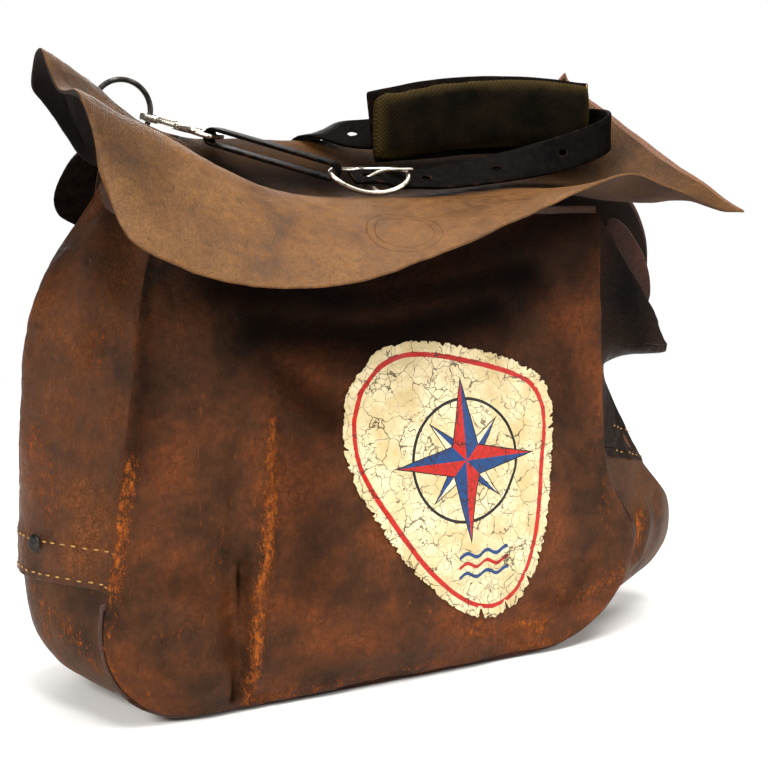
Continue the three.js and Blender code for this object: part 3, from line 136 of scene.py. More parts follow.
# Oiled harness leather, vegetable tanned and greased: dark with redder and paler clouds, a pebbled grain,
# fine cracks where it has flexed, and rust-coloured nap where the grain has rubbed off; the same nap paints a
# highlight along the front's right edge, and a near black painted shade with no specular lies where the dark strokes
# are
def oiledLeather(name, look):
    material, tree, shader = newMaterial(name)
    place = addNode(tree, "TexCoord").outputs["Object"]
    cloud = addNode(tree, "TexNoise", {"Vector": place, "Scale": 1 / look["cloud"], "Detail": 4, "Roughness": 0.6})
    mottle = addNode(tree, "TexNoise", {"Vector": place, "Scale": 1 / look["mottle"], "Detail": 8, "Roughness": 0.72})
    bend = addNode(tree, "VectorMath", {0: mottle.outputs["Color"], "Scale": look["crackle"] * 0.9},
                   operation="SCALE")
    bent = addNode(tree, "VectorMath", {0: place, 1: bend}, operation="ADD")
    cells = addNode(tree, "TexVoronoi", {"Vector": bent, "Scale": 1 / look["crackle"]}, feature="DISTANCE_TO_EDGE")
    sharp = addNode(tree, "MapRange", {"Value": cells.outputs["Distance"], "From Max": 0.07, "To Min": 1.0,
                                       "To Max": 0.0})
    gate = addNode(tree, "MapRange", {"Value": cloud.outputs["Fac"], "From Min": 0.42, "From Max": 0.6,
                                      "To Min": 0.12, "To Max": 1.0})
    cracks = addNode(tree, "Math", {0: sharp, 1: gate}, operation="MULTIPLY")
    across = addNode(tree, "Mapping", {"Vector": place, "Scale": (0.55, 0.55, 1.35)})  # its wrinkles run level
    folds = addNode(tree, "TexNoise", {"Vector": across, "Scale": 1 / look["folds"], "Detail": 5, "Roughness": 0.6,
                                       "Distortion": 0.4}, noise_type="RIDGED_MULTIFRACTAL")
    veins = addNode(tree, "MapRange", {"Value": folds.outputs["Fac"], "From Min": 0.75, "From Max": 1.5})
    grain = addNode(tree, "TexVoronoi", {"Vector": place, "Scale": 1 / look["grain"]}, feature="SMOOTH_F1")
    streaks = addNode(tree, "Mapping", {"Vector": place, "Rotation": (0.3, 0.5, 0.2), "Scale": (1.0, 1.0, 0.12)})
    lines = addNode(tree, "TexNoise", {"Vector": streaks, "Scale": 1 / look["scratchWidth"], "Detail": 3,
                                       "Roughness": 0.55})
    scratches = addNode(tree, "ValToRGB", {"Fac": lines.outputs["Fac"]}, stops=[(0.66, 0.0), (0.72, 1.0)])

    tone = addNode(tree, "ValToRGB", {"Fac": cloud.outputs["Fac"]},
                   stops=[(0.3, look["dark"]), (0.47, look["middle"]), (0.68, look["warm"])])
    soft = addNode(tree, "MapRange", {"Value": mottle.outputs["Fac"], "From Min": 0.3, "From Max": 0.72,
                                      "To Min": 0.68, "To Max": 1.32})
    fibres = addNode(tree, "TexNoise", {"Vector": streaks, "Scale": 1 / look["fibre"], "Detail": 4, "Roughness": 0.7})
    fibreTone = addNode(tree, "MapRange", {"Value": fibres.outputs["Fac"], "From Min": 0.3, "From Max": 0.7,
                                           "To Min": 0.8, "To Max": 1.2})
    both = addNode(tree, "Math", {0: soft, 1: fibreTone}, operation="MULTIPLY")
    mixed = addNode(tree, "VectorMath", {0: tone, "Scale": both}, operation="SCALE")
    crackTone = addNode(tree, "MapRange", {"Value": cracks, "To Min": 1.0, "To Max": look["crackDark"]})
    veinTone = addNode(tree, "MapRange", {"Value": veins, "To Min": 1.08, "To Max": look["veinDark"]})
    lineTone = addNode(tree, "Math", {0: crackTone, 1: veinTone}, operation="MULTIPLY")
    cracked = addNode(tree, "VectorMath", {0: mixed, "Scale": lineTone}, operation="SCALE")
    nap = addNode(tree, "ValToRGB", {"Fac": mottle.outputs["Fac"]},
                  stops=[(0.38, look["scuffDark"]), (0.66, look["scuff"])])
    scratchShare = addNode(tree, "Math", {0: scratches, 1: look["scratch"]}, operation="MULTIPLY")
    scratched = addNode(tree, "Mix", {"Factor": scratchShare, "A": cracked, "B": nap}, data_type="RGBA")

    wearAndSheen = addNode(tree, "Attribute", attribute_name="wearAndSheen").outputs["Fac"]
    rim = addNode(tree, "Attribute", attribute_name="rim").outputs["Fac"]
    rimWear = addNode(tree, "MapRange", {"Value": rim, "From Max": look["rimWidth"], "To Min": look["rimWear"],
                                         "To Max": 0.0})
    sum1 = addNode(tree, "Math", {0: wearAndSheen, 1: rimWear}, operation="MAXIMUM")
    flecks = addNode(tree, "Mapping", {"Vector": place, "Scale": (1.0, 1.0, 0.5)})
    rub = addNode(tree, "TexNoise", {"Vector": flecks, "Scale": 1 / look["fleck"], "Detail": 7, "Roughness": 0.78})
    patchy = addNode(tree, "MapRange", {"Value": rub.outputs["Fac"], "From Min": 0.3, "From Max": 0.7,
                                        "To Min": -0.55, "To Max": 0.5})
    speck = addNode(tree, "MapRange", {"Value": grain.outputs["Distance"], "From Max": 0.7, "To Min": 0.12,
                                       "To Max": -0.12})
    sum2 = addNode(tree, "Math", {0: sum1, 1: patchy}, operation="ADD")
    sum3 = addNode(tree, "Math", {0: sum2, 1: speck}, operation="ADD")
    worn = addNode(tree, "ValToRGB", {"Fac": sum3}, stops=[(0.46, 0.0), (0.78, 1.0)])
    wornMix = addNode(tree, "Mix", {"Factor": worn, "A": scratched.outputs[2], "B": nap}, data_type="RGBA")
    # painted shade: where the dark strokes lie, the colour goes to a near black, for shadow under the flap and the
    # strap, in creases and seams, and on sides turned from the lamps
    dark = addNode(tree, "Attribute", attribute_name="dark").outputs["Fac"]
    shadedTone = addNode(tree, "Mix", {"Factor": dark, "A": wornMix.outputs[2], "B": toLinear(look["oil"])},
                    data_type="RGBA")

    gloss = addNode(tree, "MapRange", {"Value": mottle.outputs["Fac"], "From Min": 0.3, "From Max": 0.7,
                                       "To Min": look["rough"][0], "To Max": look["rough"][1]})
    dull = addNode(tree, "Math", {0: worn, 1: 0.22, 2: gloss}, operation="MULTIPLY_ADD")
    # the painted shade also takes the specular away
    shine = addNode(tree, "MapRange", {"Value": dark, "To Min": look["specular"], "To Max": 0.01})

    edgeLine = addNode(tree, "Math", {0: rim, 1: look["tooled"]}, operation="SUBTRACT")
    edgeNear = addNode(tree, "Math", {0: edgeLine}, operation="ABSOLUTE")
    groove = addNode(tree, "MapRange", {"Value": edgeNear, "From Max": look["grooveWidth"]})
    h0 = addNode(tree, "Math", {0: veins, 1: -look["foldDepth"], 2: mottle.outputs["Fac"]}, operation="MULTIPLY_ADD")
    h1 = addNode(tree, "Math", {0: cracks, 1: -look["crackDepth"], 2: h0}, operation="MULTIPLY_ADD")
    h2 = addNode(tree, "Math", {0: grain.outputs["Distance"], 1: -0.28, 2: h1}, operation="MULTIPLY_ADD")
    h3 = addNode(tree, "Math", {0: groove, 1: look["grooveDepth"], 2: h2}, operation="MULTIPLY_ADD")
    h4 = addNode(tree, "Math", {0: worn, 1: -0.25, 2: h3}, operation="MULTIPLY_ADD")
    bump = addNode(tree, "Bump", {"Height": h4, "Strength": look["relief"], "Distance": look["height"]})
    wire(tree, shader, {"Base Color": shadedTone.outputs[2], "Roughness": dull, "Specular IOR Level": shine,
                        "Normal": bump})
    return material


# sizes in metres: clouds 60 mm, mottle 6.5 mm, cracks 3.6 to 6 mm apart, wrinkles 11 to 22 mm apart, pores 1.3 mm
# (drawn coarser than real ones); specular is low because the pale floor would grey the leather; the near black
# colour after the scuff colours is the painted shade's
panelLook = {"cloud": 0.06, "mottle": 0.0065, "crackle": 0.006, "grain": 0.0013, "dark": "#1e1107",
             "middle": "#432511", "warm": "#673517", "scuffDark": "#6b3310", "scuff": "#a8591c", "oil": "#080504",
             "crackDark": 0.86, "crackDepth": 0.2, "scratch": 0.3, "rimWidth": 0.005, "rimWear": 0.42,
             "rough": (0.34, 0.54), "relief": 0.85, "folds": 0.022, "foldDepth": 0.7, "veinDark": 0.66,
             "specular": 0.1, "tooled": 0.004, "grooveDepth": 0.0, "grooveWidth": 0.0009, "scratchWidth": 0.0022,
             "fibre": 0.0012, "fleck": 0.0026, "height": 0.0019}
gussetLook = dict(panelLook, dark="#271509", middle="#4a280f", warm="#683814", crackle=0.0036, crackDark=0.84,
                  crackDepth=0.22, relief=1.0, folds=0.011, foldDepth=1.3, veinDark=0.46, specular=0.16,
                  rough=(0.26, 0.5))
# the right gusset: the left gusset's leather in a darker, less shiny copy, as painted shade on the side turned from
# the lamps; a tooled groove runs along its edge
shadedGussetLook = dict(gussetLook, dark="#150c07", middle="#24140a", warm="#341c0c", specular=0.05, tooled=0.006,
                 grooveDepth=0.5)
stripLook = dict(panelLook, dark="#2a180b", middle="#432712", warm="#5a3518", scratch=0.45)
flapLook = dict(panelLook, cloud=0.055, dark="#372411", middle="#563615", warm="#65431f", scuffDark="#5f3815",
                scuff="#94622c", crackle=0.0045, crackDark=0.9, crackDepth=0.15, scratch=0.4, rimWear=0.4,
                specular=0.2, rough=(0.42, 0.66), relief=0.6, folds=0.02, foldDepth=0.35, veinDark=0.82, tooled=0.005)
earLook = dict(panelLook, dark="#1d0f0b", middle="#2f1810", warm="#402016", specular=0.08)


# Flesh side of the same hides, buffed and unfinished: matt, fibrous, no grain
def fleshSide(name, look):
    material, tree, shader = newMaterial(name)
    place = addNode(tree, "TexCoord").outputs["Object"]
    cloud = addNode(tree, "TexNoise", {"Vector": place, "Scale": 1 / look["cloud"], "Detail": 4, "Roughness": 0.6})
    nap = addNode(tree, "TexNoise", {"Vector": place, "Scale": 1 / look["nap"], "Detail": 6, "Roughness": 0.75})
    tone = addNode(tree, "ValToRGB", {"Fac": cloud.outputs["Fac"]},
                   stops=[(0.35, look["dark"]), (0.65, look["pale"])])
    soft = addNode(tree, "MapRange", {"Value": nap.outputs["Fac"], "From Min": 0.3, "From Max": 0.7, "To Min": 0.7,
                                      "To Max": 1.3})
    mixed = addNode(tree, "VectorMath", {0: tone, "Scale": soft}, operation="SCALE")
    # painted shade on the flesh side: a near black colour where the shade strokes lie
    fleshShade = addNode(tree, "Attribute", attribute_name="fleshShade").outputs["Fac"]
    fleshShaded = addNode(tree, "Mix", {"Factor": fleshShade, "A": mixed, "B": toLinear(look["fleshShade"])}, data_type="RGBA")
    bump = addNode(tree, "Bump", {"Height": nap.outputs["Fac"], "Strength": 0.5, "Distance": 0.0008})
    wire(tree, shader, {"Base Color": fleshShaded.outputs[2], "Roughness": 0.88, "Specular IOR Level": 0.25,
                        "Normal": bump})
    return material


# Cut and burnished edge of a hide: paler than the grain, with the hide's layers as fine lines
def cutEdge(name, look):
    material, tree, shader = newMaterial(name)
    place = addNode(tree, "TexCoord").outputs["Object"]
    layers = addNode(tree, "TexNoise", {"Vector": place, "Scale": 1 / look["layer"], "Detail": 5, "Roughness": 0.7})
    tone = addNode(tree, "ValToRGB", {"Fac": layers.outputs["Fac"]},
                   stops=[(0.35, look["dark"]), (0.65, look["pale"])])
    bump = addNode(tree, "Bump", {"Height": layers.outputs["Fac"], "Strength": 0.4, "Distance": 0.0006})
    wire(tree, shader, {"Base Color": tone, "Roughness": 0.72, "Normal": bump})
    return material


# flesh side: cloud and nap sizes in metres, the near black colour of its painted shade, then its own dark and pale
fleshLook = {"cloud": 0.04, "nap": 0.0014, "fleshShade": "#120d0b", "dark": "#140c07", "pale": "#22140b"}
bagFlesh = fleshSide("bagFleshSide", fleshLook)
flapFlesh = fleshSide("flapFleshSide", dict(fleshLook, dark="#2a190e", pale="#432a17"))
edgeLook = {"layer": 0.0016, "dark": "#1f1008", "pale": "#472610"}
bagEdge = cutEdge("bagCutEdge", edgeLook)
flapEdge = cutEdge("flapCutEdge", dict(edgeLook, dark="#3f2410", pale="#704420"))


# Black bridle leather, curried with wax: near black and smooth, brown where its edges have rubbed
def bridleLeather(name, look):
    material, tree, shader = newMaterial(name)
    place = addNode(tree, "TexCoord").outputs["Object"]
    mottle = addNode(tree, "TexNoise", {"Vector": place, "Scale": 1 / look["mottle"], "Detail": 7, "Roughness": 0.68})
    grain = addNode(tree, "TexVoronoi", {"Vector": place, "Scale": 1 / look["grain"]}, feature="SMOOTH_F1")
    tone = addNode(tree, "ValToRGB", {"Fac": mottle.outputs["Fac"]},
                   stops=[(0.36, look["dark"]), (0.66, look["pale"])])
    rim = addNode(tree, "Attribute", attribute_name="rim").outputs["Fac"]
    edge = addNode(tree, "MapRange", {"Value": rim, "From Max": 0.0022, "To Min": 0.55, "To Max": 0.0})
    shake = addNode(tree, "Math", {0: mottle.outputs["Fac"], 1: edge}, operation="ADD")
    worn = addNode(tree, "ValToRGB", {"Fac": shake}, stops=[(0.86, 0.0), (1.02, 1.0)])
    mixed = addNode(tree, "Mix", {"Factor": worn, "A": tone, "B": toLinear(look["worn"])}, data_type="RGBA")
    gloss = addNode(tree, "MapRange", {"Value": mottle.outputs["Fac"], "From Min": 0.3, "From Max": 0.7,
                                       "To Min": look["rough"][0], "To Max": look["rough"][1]})
    line = addNode(tree, "Math", {0: rim, 1: look["tooled"]}, operation="SUBTRACT")
    near = addNode(tree, "Math", {0: line}, operation="ABSOLUTE")
    groove = addNode(tree, "MapRange", {"Value": near, "From Max": 0.0006})
    h1 = addNode(tree, "Math", {0: grain.outputs["Distance"], 1: -0.2, 2: mottle.outputs["Fac"]},
                 operation="MULTIPLY_ADD")
    h2 = addNode(tree, "Math", {0: groove, 1: 0.35, 2: h1}, operation="MULTIPLY_ADD")
    bump = addNode(tree, "Bump", {"Height": h2, "Strength": 0.3, "Distance": 0.0008})
    wire(tree, shader, {"Base Color": mixed.outputs[2], "Roughness": gloss, "Specular IOR Level": 0.012,
                        "Normal": bump})
    return material


strapLook = {"dark": "#050404", "pale": "#0e0b09", "worn": "#2e1d10", "rough": (0.42, 0.58), "mottle": 0.006,
             "grain": 0.0009, "tooled": 0.0028}
chapeLook = dict(strapLook, dark="#0a0706", pale="#17100c", worn="#3d2413", rough=(0.38, 0.58))
strapLeather = bridleLeather("waxedBridleLeather", strapLook)
chapeLeather = bridleLeather("blackenedChapeLeather", chapeLook)


# Cast metal, tumbled and plated: bright and dull in patches laid by noise, with stains from hands and weather among
# them
def castMetal(name, look):
    material, tree, shader = newMaterial(name)
    place = addNode(tree, "TexCoord").outputs["Object"]
    stain = addNode(tree, "TexNoise", {"Vector": place, "Scale": 1 / look["patch"], "Detail": 7, "Roughness": 0.7})
    pits = addNode(tree, "TexNoise", {"Vector": place, "Scale": 1 / look["pit"], "Detail": 3, "Roughness": 0.6})
    tone = addNode(tree, "ValToRGB", {"Fac": stain.outputs["Fac"]},
                   stops=[(0.3, look["stain"]), (0.48, look["metal"]), (0.7, look["bright"])])
    gloss = addNode(tree, "MapRange", {"Value": stain.outputs["Fac"], "From Min": 0.3, "From Max": 0.7,
                                       "To Min": look["rough"][1], "To Max": look["rough"][0]})
    bump = addNode(tree, "Bump", {"Height": pits.outputs["Fac"], "Strength": look["pitted"], "Distance": 0.0003})
    wire(tree, shader, {"Base Color": tone, "Metallic": 1.0, "Roughness": gloss, "Normal": bump})
    return material


nickelLook = {"patch": 0.007, "pit": 0.0012, "stain": "#4e463c", "metal": "#a39a8c", "bright": "#cfc8bb",
              "rough": (0.2, 0.42), "pitted": 0.25}
ironLook = dict(nickelLook, stain="#1c1917", metal="#33302d", bright="#55504a", rough=(0.34, 0.6), pitted=0.45)
nickel = castMetal("wornNickelPlate", nickelLook)
iron = castMetal("blackenedIron", ironLook)
print("leather and metal mixed")


def coords(piece):
    flat = np.empty(len(piece.data.vertices) * 3)
    piece.data.vertices.foreach_get("co", flat)
    return flat.reshape(-1, 3)


def setCoords(piece, co):
    piece.data.vertices.foreach_set("co", co.reshape(-1))
    piece.data.update()


def writeShade(piece, name, values):
    layer = piece.data.attributes.get(name) or piece.data.attributes.new(name, "FLOAT", "POINT")
    layer.data.foreach_set("value", np.asarray(values, np.float32))


# distance of each point from a line through places in millimetres, in metres
def fromLine(co, line):
    points = np.array(line, float) * 0.001
    if len(points) == 1:
        return np.linalg.norm(co - points[0], axis=1)
    best = np.full(len(co), 1e9)
    for a, b in zip(points[:-1], points[1:]):
        along = b - a
        t = np.clip(((co - a) @ along) / (along @ along), 0, 1)
        best = np.minimum(best, np.linalg.norm(co - a - t[:, None] * along, axis=1))
    return best


# strokes: a line in millimetres, its width in millimetres and its strength
def strokes(piece, name, rows):
    co = coords(piece)
    value = np.zeros(len(co))
    for line, width, strength in rows:
        value = np.maximum(value, strength * np.exp(-(fromLine(co, line) / (width * 0.001)) ** 2))
    writeShade(piece, name, value)


# runs mesh operators on all of a piece in edit mode
def editAll(*steps):
    bpy.ops.object.mode_set(mode="EDIT")
    for step in steps:
        bpy.ops.mesh.select_all(action="SELECT")
        step()
    bpy.ops.object.mode_set(mode="OBJECT")


# a copy of a CAD node as one welded mesh with no materials
def fromNode(node, name):
    bpy.ops.object.select_all(action="DESELECT")
    piece = bpy.data.objects.new(name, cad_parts[node].data.copy())
    bpy.context.collection.objects.link(piece)
    piece.data.materials.clear()
    piece.select_set(True)
    bpy.context.view_layer.objects.active = piece
    bpy.ops.mesh.customdata_custom_splitnormals_clear()
    editAll(lambda: bpy.ops.mesh.remove_doubles(threshold=0.00002))
    return piece


# gives each side of a hide its own material slot (0 grain, 1 flesh, 2 cut edge) and returns points along its edges
def sortSides(piece, inside, thickness, crease=60):
    bm = bmesh.new()
    bm.from_mesh(piece.data)
    limit = math.radians(crease)
    waiting = set(bm.faces)
    rimPoints = []
    while waiting:
        first = waiting.pop()
        island, stack = [first], [first]
        while stack:
            face = stack.pop()
            for edge in face.edges:
                if len(edge.link_faces) == 2 and edge.calc_face_angle(0) < limit:
                    for other in edge.link_faces:
                        if other in waiting:
                            waiting.discard(other)
                            island.append(other)
                            stack.append(other)
        narrow = sorted(min(e.calc_length() for e in f.edges) for f in island)[len(island) // 2]
        facing = sum(f.calc_area() * f.normal.dot((f.calc_center_median() - inside).normalized()) for f in island)
        kind = 2 if narrow < thickness * 1.25 and len(island) < 0.4 * len(bm.faces) else (0 if facing > 0 else 1)
        for face in island:
            face.material_index = kind
    for edge in bm.edges:
        if len(edge.link_faces) == 2 and edge.calc_face_angle(0) >= limit:
            a, b = (v.co for v in edge.verts)
            count = max(2, int((b - a).length / 0.0015))
            rimPoints += [a.lerp(b, i / count) for i in range(count + 1)]
    for i in range(3):
        piece.data.materials.append(None)
    bm.to_mesh(piece.data)
    bm.free()
    return rimPoints


# joins the triangles, rounds the cut edges and smooths the skin
def smoothSkin(piece, level, rounded, crease=60):
    bpy.ops.object.mode_set(mode="EDIT")
    bpy.ops.mesh.select_all(action="SELECT")
    bpy.ops.mesh.tris_convert_to_quads(face_threshold=math.radians(50), shape_threshold=math.radians(60),
                                       materials=True)
    bpy.ops.mesh.select_mode(type="EDGE")
    bpy.ops.mesh.select_all(action="DESELECT")
    bpy.ops.mesh.edges_select_sharp(sharpness=math.radians(crease))
    bpy.ops.mesh.bevel(offset=rounded, segments=1, affect="EDGES")
    bpy.ops.mesh.select_mode(type="VERT")
    bpy.ops.object.mode_set(mode="OBJECT")
    skin = piece.modifiers.new("skin", "SUBSURF")
    skin.levels = skin.render_levels = level
    bpy.ops.object.modifier_apply(modifier="skin")
    bpy.ops.object.shade_smooth()


def markRim(piece, points):
    tree = kdtree.KDTree(len(points))
    for i, point in enumerate(points):
        tree.insert(point, i)
    tree.balance()
    writeShade(piece, "rim", [min(tree.find(v.co)[2], 0.05) for v in piece.data.vertices])


# slow swells of the hide, the same on both of its sides
def swell(piece, rows):
    for size, strength in rows:
        cloud = bpy.data.textures.new("hideSwell", "CLOUDS")
        cloud.noise_scale = size
        cloud.noise_depth = 2
        cloud.cloud_type = "COLOR"
        push = piece.modifiers.new("swell", "DISPLACE")
        push.texture = cloud
        push.texture_coords = "LOCAL"
        push.direction = "RGB_TO_XYZ"
        push.mid_level = 0.5
        push.strength = strength
        bpy.ops.object.modifier_apply(modifier="swell")


# sharp little folds: ridged noise, pushed along way. size and depth in millimetres, stretch is of their height
def wrinkle(piece, way, rows):
    co = coords(piece)
    push = np.zeros(len(co))
    for size, depth, seed, stretch in rows:
        lift = np.empty(len(co))
        for i, p in enumerate(co):
            q = Vector((p[0], p[1], p[2] * stretch)) * (1000 / size) + Vector((1, 2, 3)) * seed
            q += noise.noise_vector(q * 0.6) * 0.6
            lift[i] = abs(noise.noise(q))
        push += depth * 0.001 * (np.minimum(lift, 0.32) / 0.32 - 0.7)
    setCoords(piece, co + push[:, None] * np.array(way))


# creases and dents: a line in millimetres, depth and width in millimetres, and the way it is pushed
def press(piece, rows):
    co = coords(piece)
    for line, depth, width, way in rows:
        near = fromLine(co, line) / (width * 0.001)
        profile = (1 - 0.45 * near ** 2) * np.exp(-near ** 2 / 1.6)
        co = co + (profile * depth * 0.001)[:, None] * np.array(Vector(way).normalized())
    setCoords(piece, co)


noise.seed_set(11)  # the same wrinkles on each run
bagMiddle = Vector((-0.02, 0.02, 0.16))
frontWay, leftWay, rightWay = (0, -1, 0), (-1, 0, 0), (1, 0, 0)
